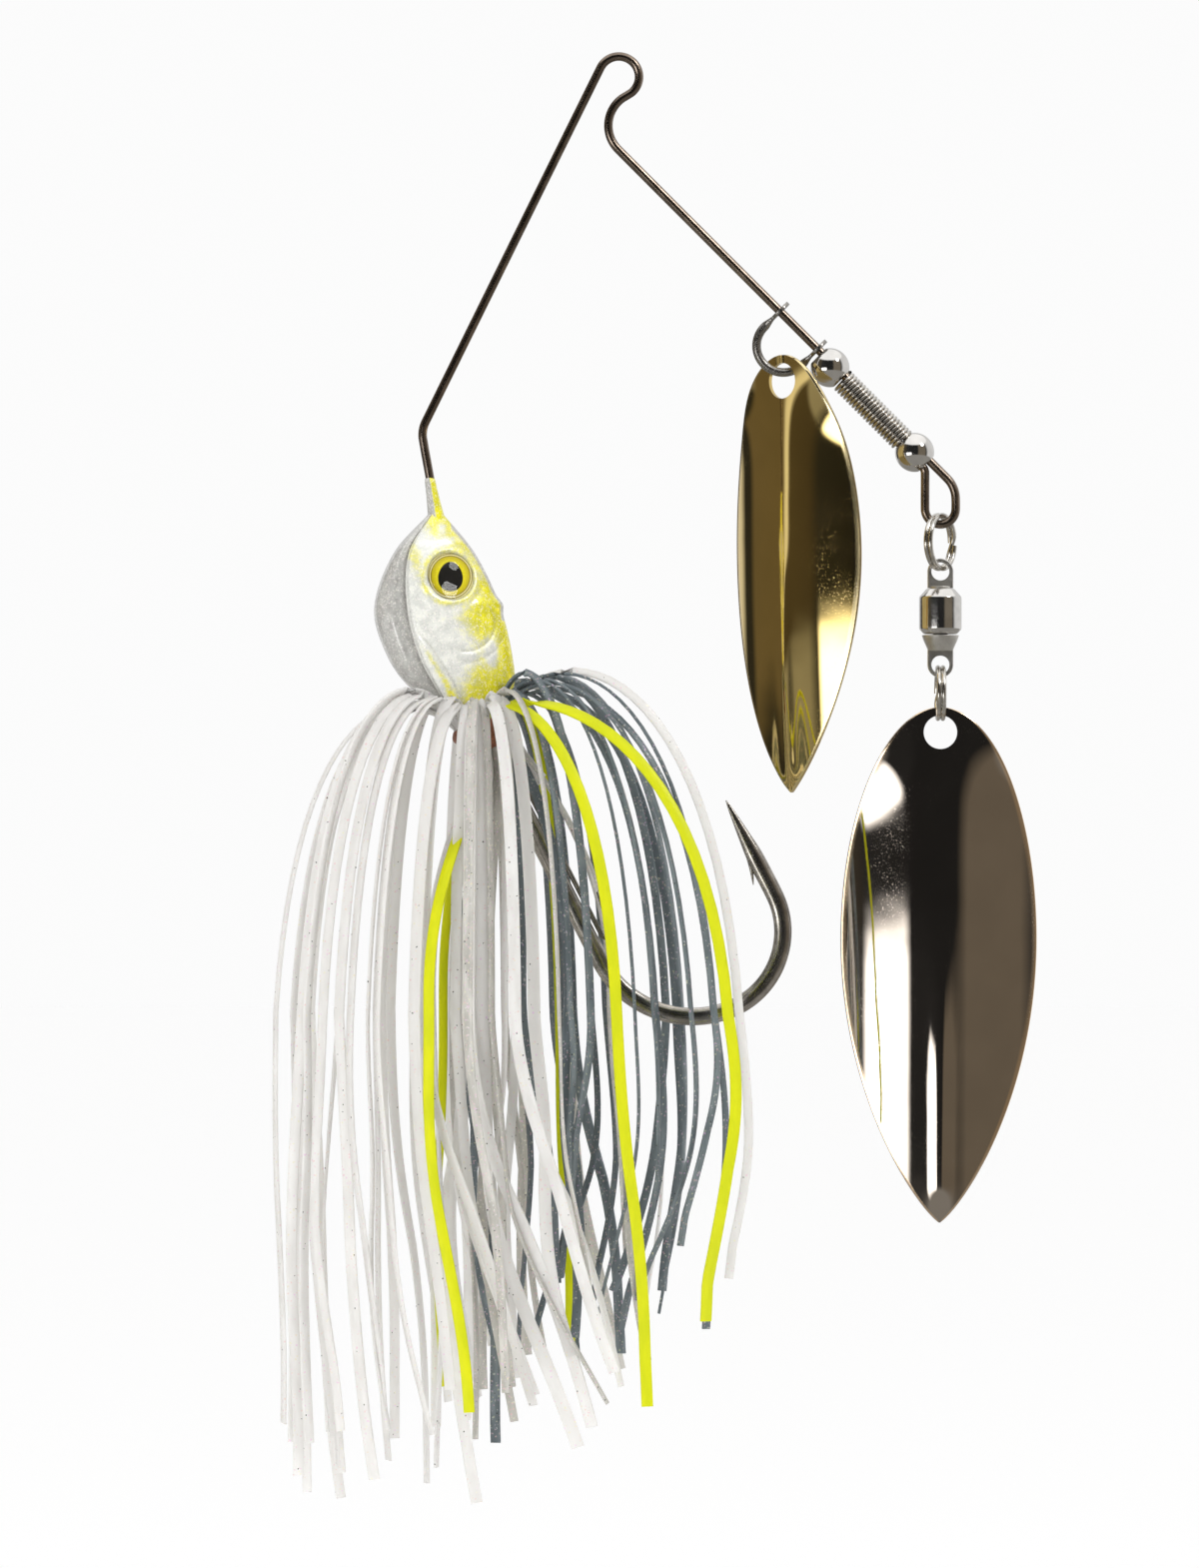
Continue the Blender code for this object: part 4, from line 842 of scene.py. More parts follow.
def add_stem(look, shank):
    """Turned stem between the cheeks and the collar's lower end."""
    start = box_centre("skirt_collar") - shank * 5.4 * MM
    inner, waist, lip, end = 1.2 * MM, 2.15 * MM, 2.6 * MM, 1.8 * MM
    length = 8.9 * MM
    corners = [
        (inner, 0.0), (waist, 0.0), (waist, 7.3 * MM), (lip, 7.9 * MM), (end, length), (inner, length),
    ]
    stem = Shape().lathe(rounded_profile(corners, 0.2 * MM), axis_place(start, shank))
    piece = stem.finish("head_stem", look, "wire_and_head", (), "head_paint")
    count = len(piece.data.vertices)
    paint_shares(piece, [0.0] * count, [0.9] * count, [0.0] * count)


def eye_place(side):
    """Centre, normal and radius of the visible eye inside its foil node."""
    centre, normal, radius = disc_place(f"eye_foil_{side}")
    backward = Vector((1.0, 0.0, 0.0))
    backward = (backward - normal * backward.dot(normal)).normalized()
    return centre + backward * 0.32 * MM, normal, radius * 0.91


def add_eye_foil(look, side, centre, normal, radius):
    """Thin printed disc. Its flow runs from -1 to 1 across the eye, level and upright."""
    thickness = 0.06 * MM
    place = axis_place(centre, normal)
    shares = [0.02 + 0.98 * i / 14 for i in range(15)]
    rings = [round_ring(place, radius * share, thickness, EYE_SIDES) for share in shares]
    rings.append([point - normal * 2 * thickness for point in rings[-1]])
    rings.append([centre - normal * thickness + (point - centre) * 0.02 for point in rings[-1]])
    level = Vector((1.0, 0.0, 0.0))
    level = (level - normal * level.dot(normal)).normalized()
    upright = (UP - normal * UP.dot(normal)).normalized()
    flow = []
    for ring in rings:
        row = []
        for point in ring:
            offset = point - centre
            offset -= normal * offset.dot(normal)
            row.append((offset.dot(level) / radius, offset.dot(upright) / radius, 0.0))
        flow.append(row)
    foil = Shape().add(rings, flow)
    foil.finish(f"eye_{side}", look, "wire_and_head", [f"eye_foil_{side}"], "eye_foil", 60.0)


def add_eye_dome(look, side, centre, normal, radius):
    """Clear lens over the foil, steep at its rim and shallow in the middle."""
    rise = 0.80 * MM
    rim_angle = math.radians(12.0)
    steps = 18
    profile = [(radius * 0.015, 0.0), (radius * 0.97, 0.0), (radius, 0.03 * MM)]
    for i in range(steps + 1):
        angle = rim_angle + (math.pi / 2 - rim_angle) * i / steps
        size = radius * max(0.015, math.cos(angle) / math.cos(rim_angle))
        profile.append((size, rise * math.sin(angle)))
    place = axis_place(centre + normal * 0.10 * MM, normal)
    dome = Shape().add([round_ring(place, size, height, EYE_SIDES) for size, height in profile])
    dome.finish(f"clear_dome_{side}", look, "wire_and_head", [f"eye_dome_{side}"], "eye_dome", 60.0)


def add_eyes(foil_look, dome_look):
    for side in ("left", "right"):
        centre, normal, radius = eye_place(side)
        add_eye_foil(foil_look, side, centre, normal, radius)
        add_eye_dome(dome_look, side, centre, normal, radius)


# ---------------------------------------------------------------- hook, keeper and collar


def hook_stations():
    """(centre, half width in the bend's plane, half thickness) along the hook from its eye to its point."""
    stations = []
    rings = sweep_rings("hook")
    centres = ring_centres(rings)
    if centres[0].z < centres[-1].z and len(rings[0]) < 8:
        rings.reverse()
    for i, ring in enumerate(rings):
        after = centres[min(i + 1, len(rings) - 1)]
        before = centres[max(i - 1, 0)]
        side = (after - before).normalized().cross(ACROSS)
        spans = [(point - centres[i]).dot(side) for point in ring]
        half_width = (max(spans) - min(spans)) / 2
        middle = centres[i] + side * (max(spans) + min(spans)) / 2
        half_thickness = max(abs(point.y) for point in ring)
        stations.append((middle, half_width, half_thickness))
    return stations


def super_ring(centre, side, up, half_width, half_height, squareness=2.6, sides=24):
    """Oval ring, rounder at squareness 2 and boxier above it."""
    ring = []
    for k in range(sides):
        angle = 2.0 * math.pi * k / sides
        c, s = math.cos(angle), math.sin(angle)
        x = math.copysign(abs(c) ** (2.0 / squareness), c) * half_width
        y = math.copysign(abs(s) ** (2.0 / squareness), s) * half_height
        ring.append(centre + side * x + up * y)
    return ring


def add_hook(look):
    """Forged hook: the shank and bend follow the frame, and the ground point is drawn here with its barb."""
    point_length = 9.9 * MM
    stations = hook_stations()
    tip = stations[-1][0]
    bent = [station for station in stations if (station[0] - tip).length > point_length]
    last, half_width, half_thickness = bent[-1]
    back = (last - tip).normalized()
    for from_tip in (7.5, 6.0, 4.5, 3.0, 1.6, 0.6, 0.0):
        taper = min(1.0, 0.05 + 0.95 * (from_tip / 6.5) ** 0.8)
        bent.append((tip + back * from_tip * MM, half_width * taper, half_thickness * taper))
    rows = spline([(*centre, width, thick) for centre, width, thick in bent], 7)
    points = [Vector(row[:3]) for row in rows]
    travelled = lengths_along(points)
    rings = []
    flow = []
    for i, (side, up) in enumerate(path_frames(points)):
        ring = super_ring(points[i], side, up, rows[i][3], rows[i][4])
        rings.append(ring)
        flow.append([((p - points[i]).dot(side), p.y, travelled[i]) for p in ring])
    shape = Shape().add(rings, flow)

    # Barb: a sliver cut up from the inner side that rises away from the point and ends in a free tip.
    barb_rings = []
    inward = (-back).cross(ACROSS)
    steps = 14
    for i in range(steps + 1):
        t = i / steps
        spot = tip + back * (5.4 + 3.5 * t) * MM + inward * (0.45 + 1.0 * t**1.4) * MM
        half = (0.30 * (1.0 - t) ** 0.7 + 0.04) * MM
        barb_rings.append(super_ring(spot, inward, ACROSS, half, 0.42 * MM * (1.0 - 0.75 * t), 2.2, 14))
    shape.add(barb_rings)
    shape.finish("fish_hook", look, "wire_and_head", ["hook"], "hook", 60.0)


def shank_direction():
    """Along the hook's straight shank, from the eye towards the bend."""
    centres = [station[0] for station in hook_stations()]
    longest = max(range(len(centres) - 1), key=lambda i: (centres[i + 1] - centres[i]).length)
    direction = (centres[longest + 1] - centres[longest]).normalized()
    return direction if direction.z < 0 else -direction


def add_trailer_keeper(look):
    """Fine wire along the shank, with a tapered end."""
    steps = 6
    rings = sweep_rings("trailer_keeper")
    points = [Vector(point) for point in spline(ring_centres(rings), steps)]
    radii = [ring_radius(ring) for ring in rings]
    sizes = [radii[min(i // steps, len(radii) - 1)] for i in range(len(points))]
    sizes[-steps:] = [sizes[-steps - 1] * (1.0 - 0.6 * k / steps) for k in range(steps)]
    keeper = Shape().tube(points, sizes, 14)
    keeper.finish("keeper_wire", look, "wire_and_head", ["trailer_keeper"], "keeper", 60.0)


def add_collar(look, shank):
    """Moulded collar with two rounded beads, pressed round the strands."""
    centre = box_centre("skirt_collar")
    half = 1.7 * MM
    inner, outer = 2.45 * MM, 3.05 * MM
    profile = [(inner, -half)]
    steps = 28
    for i in range(steps + 1):
        t = -1.0 + 2.0 * i / steps
        bead = 0.28 * MM * math.cos(2.0 * math.pi * t)
        end = (1.0 - t**8) ** 0.5
        profile.append((inner + (outer - inner - bead * 0.5) * end + 0.02 * MM, half * t))
    profile.append((inner, half))
    collar = Shape().lathe(profile, axis_place(centre, shank), 48)
    collar.finish("rubber_collar", look, "wire_and_head", ["skirt_collar"], "collar", 50.0)


# ---------------------------------------------------------------- skirt

# The bundles' spans of azimuth in degrees, from +X round to -X.
SMOKE_SPAN = (8.0, 50.0)
PEARL_SPAN = (70.0, 118.0)
WHITE_SPAN = (121.0, 176.0)
REACH_RIGHT = 27.0 * MM
REACH_LEFT = 22.0 * MM
REACH_SIDE = 16.0 * MM
ROOT_RADIUS = 2.35 * MM


class Strand:
    """One silicone strand. Azimuth 0 points to +X. Reach and rise scale the bell's own curve; the rest is in
    millimetres: how far the end hangs below the bundle, the outward bow, and the drift outward and to +X.
    root is the azimuth at the collar, where it differs."""

    def __init__(
        self, azimuth, reach=1.0, bottom=0.0, rise=1.0, bow=0.0, drift=0.0, lean=0.0, width=1.0,
        twist=None, root=None,
    ):
        self.azimuth = math.radians(azimuth)
        self.root = math.radians(azimuth if root is None else root)
        self.reach = reach
        self.bottom = bottom * MM
        self.rise = rise
        self.bow = bow * MM
        self.drift = drift * MM
        self.lean = lean * MM
        self.width = width * MM
        self.twist = twist
        self.inner = False


def bell_reach(azimuth):
    along = REACH_RIGHT if math.cos(azimuth) > 0 else REACH_LEFT
    return 1.0 / math.hypot(math.cos(azimuth) / along, math.sin(azimuth) / REACH_SIDE)


def strand_path(strand, collar, shank, bottom_z, chance):
    """Centre line from inside the collar's mouth, out over the shoulder and down to the free end."""
    outward = Vector((math.cos(strand.azimuth), math.sin(strand.azimuth), 0.0))
    sideways = Vector((-outward.y, outward.x, 0.0))
    aside = Vector((-shank.z, 0.0, shank.x))
    radial = aside * math.cos(strand.root) + ACROSS * math.sin(strand.root)
    reach = bell_reach(strand.azimuth) * strand.reach
    if strand.inner:
        root = collar + shank * 1.5 * MM + radial * ROOT_RADIUS
        shoulder = Vector((collar.x, 0.0, collar.z)) + outward * reach
        shoulder.z -= 26.0 * MM
        control_1 = root + shank * 3.0 * MM + radial * 1.0 * MM
        control_2 = shoulder + Vector((0.0, 0.0, 14.0 * MM))
    else:
        root = collar - shank * 1.2 * MM + radial * ROOT_RADIUS
        shoulder = collar + outward * reach
        shoulder.z -= 28.0 * MM
        lift = (6.6 + 0.4 * math.cos(strand.azimuth)) * MM * strand.rise
        parting = Vector((math.cos(strand.root), math.sin(strand.root), 0.0))
        control_1 = root + parting * (0.26 * reach) + UP * lift
        control_2 = collar + outward * (0.90 * reach) + UP * lift * 0.72
    points = []
    bend_steps = 24
    for i in range(bend_steps):
        t = i / bend_steps
        points.append(
            root * (1 - t) ** 3
            + control_1 * (3 * t * (1 - t) ** 2)
            + control_2 * (3 * t**2 * (1 - t))
            + shoulder * t**3
        )
    fall = shoulder.z - bottom_z - strand.bottom
    phase = chance.uniform(0.0, 2.0 * math.pi)
    sway = chance.uniform(0.4, 1.3) * MM
    fall_steps = 26
    for i in range(fall_steps + 1):
        s = i / fall_steps
        wave = math.sin(2.0 * math.pi * s * 0.8 + phase) - math.sin(phase)
        point = shoulder - UP * fall * s
        point += outward * (strand.bow * math.sin(math.pi * min(1.0, s * 1.15)) + strand.drift * s * s)
        point += sideways * sway * wave * min(1.0, s * 2.0)
        point.x += strand.lean * s**1.5
        points.append(point)
    return points


def strand_rings(points, strand, chance):
    """Flat section whose broad side turns slowly, with soft corners, squeezed where the collar holds it."""
    rings = []
    flow = []
    travelled = lengths_along(points)
    offset = chance.uniform(0.0, 0.5)
    twist = strand.twist if strand.twist is not None else chance.uniform(-1.0, 1.0)
    turn = chance.gauss(0.0, 0.4)
    thickness = 0.15 * MM
    corner = 0.6
    for i in range(len(points)):
        before = points[max(i - 1, 0)]
        after = points[min(i + 1, len(points) - 1)]
        tangent = (after - before).normalized()
        outward = Vector((math.cos(strand.azimuth), math.sin(strand.azimuth), 0.0))
        across = outward.cross(tangent).normalized()
        face = tangent.cross(across).normalized()
        t = i / (len(points) - 1)
        angle = twist * smooth_step(0.0, 0.3, t) + turn * smooth_step(0.15, 1.0, t)
        wide = across * math.cos(angle) + face * math.sin(angle)
        thick = face * math.cos(angle) - across * math.sin(angle)
        squeeze = 0.6 + 0.4 * smooth_step(0.0, 0.14, t)
        half = strand.width / 2 * squeeze
        quarter = [(half, thickness * corner), (half * 0.84, thickness)]
        face_side = quarter + [(-u, v) for u, v in reversed(quarter)]
        outline = face_side + [(u, -v) for u, v in reversed(face_side)]
        rings.append([points[i] + wide * u + thick * v for u, v in outline])
        flow.append([(u + offset, v, travelled[i] + offset * 3.0) for u, v in outline])
    return rings, flow


def spread(span, count, chance, clump=0.35):
    """Azimuths over a span, unevenly spaced so that strands stand in twos and threes."""
    low, high = span
    step = (high - low) / count
    return [low + step * (i + 0.5 + chance.uniform(-clump, clump)) for i in range(count)]


def white_strands(near, chance):
    made = []
    for azimuth in spread(WHITE_SPAN, 12 if near else 8, chance):
        reach = chance.uniform(0.80, 1.04) if chance.random() < 0.7 else chance.uniform(0.6, 0.8)
        rise = chance.uniform(1.0, 1.45) * (1.0 if azimuth < 160.0 else 0.85)
        sweep = smooth_step(165.0, 125.0, azimuth) if near else 0.3
        made.append(("white", "white", Strand(
            azimuth, reach, chance.uniform(-6.0, 4.0), rise,
            chance.uniform(-0.4, 1.0), chance.uniform(-0.6, 1.0),
            chance.uniform(-1.0, 2.0) + 5.0 * sweep, chance.uniform(0.95, 1.3))))
    return made


def pearl_strands(near, chance):
    made = []
    for azimuth in spread(PEARL_SPAN, 9 if near else 6, chance, 0.45):
        colour = "white" if azimuth > 96.0 or chance.random() < 0.55 else "pearl"
        lean = chance.uniform(3.0, 13.0) if near else chance.uniform(0.0, 6.0)
        made.append(("pearl", colour, Strand(
            azimuth, chance.uniform(0.6, 1.0), chance.uniform(-5.0, 6.0), chance.uniform(0.55, 0.95),
            chance.uniform(-0.5, 1.0), chance.uniform(-1.5, 1.5), lean, chance.uniform(1.0, 1.35))))
    far_beside = ((55.0, "smoke"), (60.0, "pearl"), (65.0, "smoke"))
    beside = ((62.0, "pearl"), (67.0, "white")) if near else far_beside
    for azimuth, colour in beside:
        made.append(("chartreuse", colour, Strand(
            azimuth, chance.uniform(0.75, 1.0), chance.uniform(-4.0, 6.0), chance.uniform(0.7, 1.0),
            0.5, -1.0, chance.uniform(1.0, 6.0), chance.uniform(0.9, 1.25))))
    return made


def smoke_strands(near, chance):
    made = []
    low, high = SMOKE_SPAN
    for azimuth in spread((low, high - 6.0), 8 if near else 5, chance, 0.45):
        made.append(("smoke", "smoke", Strand(
            azimuth, chance.uniform(0.60, 1.02), chance.uniform(-2.0, 9.0), chance.uniform(0.7, 1.35),
            chance.uniform(0.0, 1.2), chance.uniform(-7.0, -0.5), chance.uniform(-3.0, 2.0),
            chance.uniform(0.65, 0.95))))
    return made


def bright_strands(near):
    """The few yellow strands, and the pale one that hangs furthest out."""
    if near:
        return [
            ("smoke", "chartreuse", Strand(30.0, 1.26, 1.5, 0.62, 1.6, -2.2, 0.0, 1.15, 0.75, 66.0)),
            ("chartreuse", "chartreuse", Strand(47.0, 1.02, -5.0, 0.60, 0.6, 0.0, 2.5, 1.15, 0.6, 74.0)),
            ("smoke", "white", Strand(11.0, 1.0, 5.0, 1.35, 0.9, -1.2, 0.0, 0.9, 1.2)),
        ]
    return [
        ("chartreuse", "chartreuse", Strand(58.0, 0.8, -2.0, 0.9, 0.4, -1.0, 1.0, 1.0)),
        ("smoke", "white", Strand(30.0, 0.9, 0.0, 1.0, 1.0, -2.0, 0.0, 0.9)),
    ]


# Azimuth of the gap that shows one yellow strand inside the bell, and half the gap's width.
BRIGHT_GAP = 111.0
GAP_HALF_WIDTH = 5.5
# (body, colour, azimuth, reach) of each strand inside the bell.
INNER_STRANDS = (
    ("white", "white", 146.0, 0.36), ("white", "pearl", 130.0, 0.30),
    ("pearl", "smoke", 112.0, 0.34), ("pearl", "white", 100.0, 0.55), ("pearl", "pearl", 86.0, 0.45),
    ("pearl", "white", 76.0, 0.62), ("chartreuse", "smoke", 60.0, 0.45), ("smoke", "smoke", 42.0, 0.50),
    ("smoke", "pearl", 30.0, 0.62),
)


def inner_strands(near, chance):
    """Strands that leave the collar's lower mouth and hang inside the bell."""
    made = []
    for label, colour, azimuth, reach in INNER_STRANDS:
        made.append((label, colour, Strand(
            azimuth + chance.uniform(-3.0, 3.0), reach * chance.uniform(0.85, 1.1),
            chance.uniform(-4.0, 8.0), 1.0, chance.uniform(-0.5, 0.5), chance.uniform(-1.0, 1.5),
            chance.uniform(-1.0, 5.0), chance.uniform(0.8, 1.2))))
    if near:
        made.append(("white", "chartreuse", Strand(BRIGHT_GAP, 0.90, 5.0, 1.0, 0.0, 0.0, 3.0, 1.1, 0.0)))
    else:
        made.append(("white", "chartreuse", Strand(140.0, 0.30, 6.0, 1.0, 0.0, 0.0, 0.5, 0.9, 0.6)))
    for *_, strand in made:
        strand.inner = True
    return made


def side_strands(near, chance):
    """Strands of one side of the bait as (body label, colour, strand)."""
    made = white_strands(near, chance) + pearl_strands(near, chance) + smoke_strands(near, chance)
    for *_, strand in made:
        part = strand.azimuth - math.radians(BRIGHT_GAP)
        if near and abs(part) < math.radians(GAP_HALF_WIDTH):
            strand.azimuth += math.radians(math.copysign(GAP_HALF_WIDTH, part)) - part
    made += bright_strands(near) + inner_strands(near, chance)
    for *_, strand in made:
        strand.azimuth *= -1.0 if near else 1.0
        strand.root *= -1.0 if near else 1.0
    return made


def add_skirt(looks, shank):
    """Both sides of the skirt. A piece holds one colour's strands on one body."""
    chance = random.Random(41)
    collar = box_centre("skirt_collar")
    for side, near in (("right", True), ("left", False)):
        shapes = {}
        for label, colour, strand in side_strands(near, chance):
            body = f"skirt_{label}_{side}"
            points = strand_path(strand, collar, shank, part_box(body)[0].z, chance)
            rings, flow = strand_rings(points, strand, chance)
            key = (body, colour, "inner" if strand.inner else "outer")
            shapes.setdefault(key, Shape()).add(rings, flow, chance.random())
        done = set()
        for (body, colour, layer), shape in shapes.items():
            name = body.replace("skirt_", f"{layer}_strands_") + f"_{colour}"
            stands_for = () if body in done else [body]
            piece = shape.finish(name, looks[colour], None, stands_for, f"skirt_{colour}", 60.0)
            done.add(body)
            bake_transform(piece)


def add_stubs(look, shank):
    """Short cut ends of the strands that stick out below the collar."""
    chance = random.Random(19)
    collar = box_centre("skirt_collar")
    aside = Vector((-shank.z, 0.0, shank.x))
    shape = Shape()
    count = 16
    for i in range(count):
        azimuth = 2.0 * math.pi * (i + chance.uniform(-0.3, 0.3)) / count
        radial = aside * math.cos(azimuth) + ACROSS * math.sin(azimuth)
        length = chance.uniform(3.5, 6.0) * MM
        flare = chance.uniform(0.3, 1.3) * MM
        points = []
        for k in range(10):
            t = k / 9
            points.append(collar + shank * (1.2 * MM + length * t) + radial * (ROOT_RADIUS + flare * t * t))
        strand = Strand(math.degrees(azimuth), width=chance.uniform(0.9, 1.3))
        rings, flow = strand_rings(points, strand, chance)
        shape.add(rings, flow, chance.random())
    shape.finish("strand_ends", look, "wire_and_head", (), "skirt_white", 60.0)


# ---------------------------------------------------------------- beads, coil and clevis


def add_bead(look, node, body):
    """Drilled bead with rounded lips at its bore."""
    radius = box_size(node).y / 2
    bore = 1.0 * MM
    start = math.asin(bore / radius) + 0.06
    profile = []
    steps = 36
    for i in range(steps + 1):
        angle = start + (math.pi - 2 * start) * i / steps
        profile.append((radius * math.sin(angle), radius * math.cos(angle)))
    half = radius * math.cos(start)
    lip = 0.10 * MM
    profile += [(bore, -half + lip), (bore, half - lip)]
    place = axis_place(box_centre(node), joint_axis("clevis_spin"))
    Shape().lathe(profile, place, 64).finish(f"steel_{node}", look, body, [node], "beads", 35.0)


def add_coil(look):
    """Tight-wound sleeve between the beads."""
    arm = joint_axis("clevis_spin")
    first = box_centre("front_bead")
    last = box_centre("rear_bead")
    radius = box_size("front_bead").y / 2
    wire = 0.165 * MM
    coil = 1.14 * MM
    face = math.sqrt(radius**2 - coil**2) + 0.16 * MM
    start = first + arm * face
    length = (last - first).length - 2 * face
    turns = round(length / (2.5 * wire))
    steps = 26
    side = arm.cross(ACROSS).normalized()
    points = []
    for i in range(turns * steps + 1):
        angle = 2.0 * math.pi * i / steps
        along = start + arm * (length * i / (turns * steps))
        points.append(along + (side * math.cos(angle) + ACROSS * math.sin(angle)) * coil)
    spring = Shape().tube(points, wire, 10, across=arm)
    spring.finish("coil_spring", look, "lock_sleeve", ["coil_sleeve"], "coil", 60.0)


def add_clevis(look):
    """Stirrup: a round bow whose ends are rolled flat into ears and drilled for the wire."""
    arm = joint_axis("clevis_spin")
    middle = joint_place("clevis_spin")
    bow = joint_place("front_blade_swing")
    below = (bow - middle).normalized()
    drop = (bow - middle).length
    along = (node_points("clevis") - np.array(middle)) @ np.array(arm)
    wire = 0.45 * MM
    half_span = along.max() - wire
    ear = 1.2 * MM
    ear_half_thickness = 0.2 * MM

    leg = []
    steps = 26
    for i in range(steps + 1):
        t = i / steps
        at = ear * -0.99 + (drop + ear * 0.99) * t
        if at < ear * 0.80:
            width = ear * math.sqrt(max(0.0, 1.0 - (at / ear) ** 2))
        else:
            width = ear * 0.6 + (wire - ear * 0.6) * smooth_step(ear * 0.80, drop, at)
        thick = ear_half_thickness + (wire - ear_half_thickness) * smooth_step(ear * 0.75, drop, at)
        square = 6.0 - 4.0 * smooth_step(ear * 0.75, drop, at)
        leg.append((at, max(width, 0.12 * MM), thick, square))
    stations = [(middle - arm * half_span + below * at, w, th, sq) for at, w, th, sq in leg]
    bow_steps = 30
    for i in range(1, bow_steps):
        angle = math.pi * i / bow_steps
        spot = bow - arm * half_span * math.cos(angle) + below * half_span * math.sin(angle)
        stations.append((spot, wire, wire, 2.0))
    stations += [(middle + arm * half_span + below * at, w, th, sq) for at, w, th, sq in reversed(leg)]
    points = [station[0] for station in stations]
    rings = []
    for (spot, width, thick, square), (side, up) in zip(stations, path_frames(points)):
        rings.append(super_ring(spot, side, up, thick, width, square, 24))
    piece = Shape().add(rings).finish("stirrup_clevis", look, "clevis", ["clevis"], "clevis", 45.0)
    cut(piece, drill(middle, arm, 0.52 * MM, 2 * half_span + 4.0 * MM, 40))


# ---------------------------------------------------------------- blades


def blade_measure(node):
    """Length, width and yaw of a blade from its CAD node."""
    points = node_points(node)
    low, high = points.min(axis=0), points.max(axis=0)
    length = (high[2] - low[2]) / 0.988
    widest = high[2] - 0.45 * length
    band = points[np.abs(points[:, 2] - widest) < 3.0 * MM]
    centre = band.mean(axis=0)
    across = np.linalg.eigh(np.cov((band - centre)[:, :2].T))[1][:, 1]
    if across[0] < 0:
        across = -across
    reach = (band - centre)[:, :2] @ across
    return length, reach.max() - reach.min(), math.atan2(across[1], across[0])


def willow_half_width(u):
    """Half width of a willow blade, 0 to 1, at u from its top (0) to its tip (1)."""
    widest = 0.45
    if u < widest:
        return math.sqrt(max(0.0, 1.0 - ((widest - u) / widest) ** 2))
    v = (u - widest) / (1.0 - widest)
    return max(0.0, 1.0 - v * v) ** 0.82


def add_blade(look, node, name, body, slot, pivot_x, hole_radius, rim, skew):
    """Pressed willow blade: cupped, with a soft spine towards the tip, a rounded edge and a punched hole."""
    length, width, yaw = blade_measure(node)
    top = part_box(node)[1].z + 0.006 * length
    hole = Vector((pivot_x, 0.0, top - hole_radius - rim))
    place = Matrix.Translation((pivot_x, 0.0, top)) @ Matrix.Rotation(yaw, 4, "Z")
    rows, columns, edge_steps = 110, 56, 4
    thickness = 0.5 * MM
    rings = []
    tints = []
    for i in range(rows + 1):
        u = 0.0008 + 0.9984 * (0.5 - 0.5 * math.cos(math.pi * i / rows))
        half = width / 2 * willow_half_width(u)
        bulge = 0.105 * width * (1.0 - math.exp(-((u / 0.12) ** 2)))
        rocker = 0.035 * length * (max(0.0, u - 0.3) / 0.7) ** 2
        spine = 0.30 * MM * smooth_step(0.40, 0.75, u) * (1.0 - smooth_step(0.93, 1.0, u))
        front, back, tint = [], [], []
        edge = min(thickness / 2, half * 0.5)
        for j in range(columns + 1):
            s = math.sin(math.pi / 2 * (-1.0 + 2.0 * j / columns))
            x = s * (half - edge)
            share = x / (width / 2)
            y = bulge * share * share * 1.6 + rocker - skew * x
            y -= spine * math.exp(-((x / (0.9 * MM)) ** 2))
            front.append(Vector((x, y - thickness / 2, -length * u)))
            back.append(Vector((x, y + thickness / 2, -length * u)))
            tint.append(abs(s))
        rim_right, rim_left = [], []
        for k in range(1, edge_steps):
            angle = math.pi * k / edge_steps
            out = edge * math.sin(angle)
            height = -thickness / 2 * math.cos(angle)
            middle = (front[-1] + back[-1]) / 2
            rim_right.append(middle + Vector((out, height, 0.0)))
            middle = (front[0] + back[0]) / 2
            rim_left.append(middle + Vector((-out, -height, 0.0)))
        loop = front + rim_right + back[::-1] + rim_left
        rings.append([place @ point for point in loop])
        tints += tint + [1.0] * len(rim_right) + tint[::-1] + [1.0] * len(rim_left)
    shape = Shape().add(rings)
    shape.tint = tints
    piece = shape.finish(name, look, body, [node], slot, 35.0)
    normal = place.to_3x3() @ ACROSS
    cut(piece, drill(Vector((pivot_x, 0.0, hole.z)), normal, hole_radius, 5.0 * MM, 72))


def add_blades(gold, dark):
    add_blade(gold, "front_blade", "gold_willow_blade", "front_blade", "gold_blade",
              joint_place("front_blade_swing").x, 1.8 * MM, 0.85 * MM, 0.17)
    add_blade(dark, "rear_blade", "dark_willow_blade", "rear_blade", "dark_blade",
              joint_place("rear_blade_swing").x, 1.7 * MM, 0.85 * MM, 0.0)


# ---------------------------------------------------------------- split rings and swivel

EYE_HALF_WIDTH = 1.3 * MM


def add_split_ring(look, node, name):
    rings = sweep_rings(node)
    points = [Vector(point) for point in spline(ring_centres(rings), 5)]
    Shape().tube(points, ring_radius(rings[3]), 14).finish(name, look, node, [node], "rings", 60.0)


def add_swivel_barrel(look):
    """Turned shell, open at both ends, with a hollow for the balls and the flange."""
    low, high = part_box("swivel_barrel")
    centre = (low + high) / 2
    radius = (high.x - low.x) / 2
    bottom, top = low.z, high.z
    mouth, bore, hollow = 1.12 * MM, 0.84 * MM, 1.70 * MM
    floor = bottom + 0.35 * MM
    corners = [
        (mouth, top), (1.40 * MM, top), (radius, top - 0.85 * MM), (radius, bottom + 0.5 * MM),
        (radius - 0.45 * MM, bottom), (bore, bottom), (bore, floor), (hollow, floor),
        (hollow, top - 0.80 * MM), (mouth, top - 0.42 * MM),
    ]
    place = Matrix.Translation((centre.x, centre.y, 0.0))
    shell = Shape().lathe(rounded_profile(corners, 0.16 * MM), place, 72)
    shell.finish("swivel_shell", look, "swivel_body", ["swivel_barrel"], "swivel_barrel", 45.0)


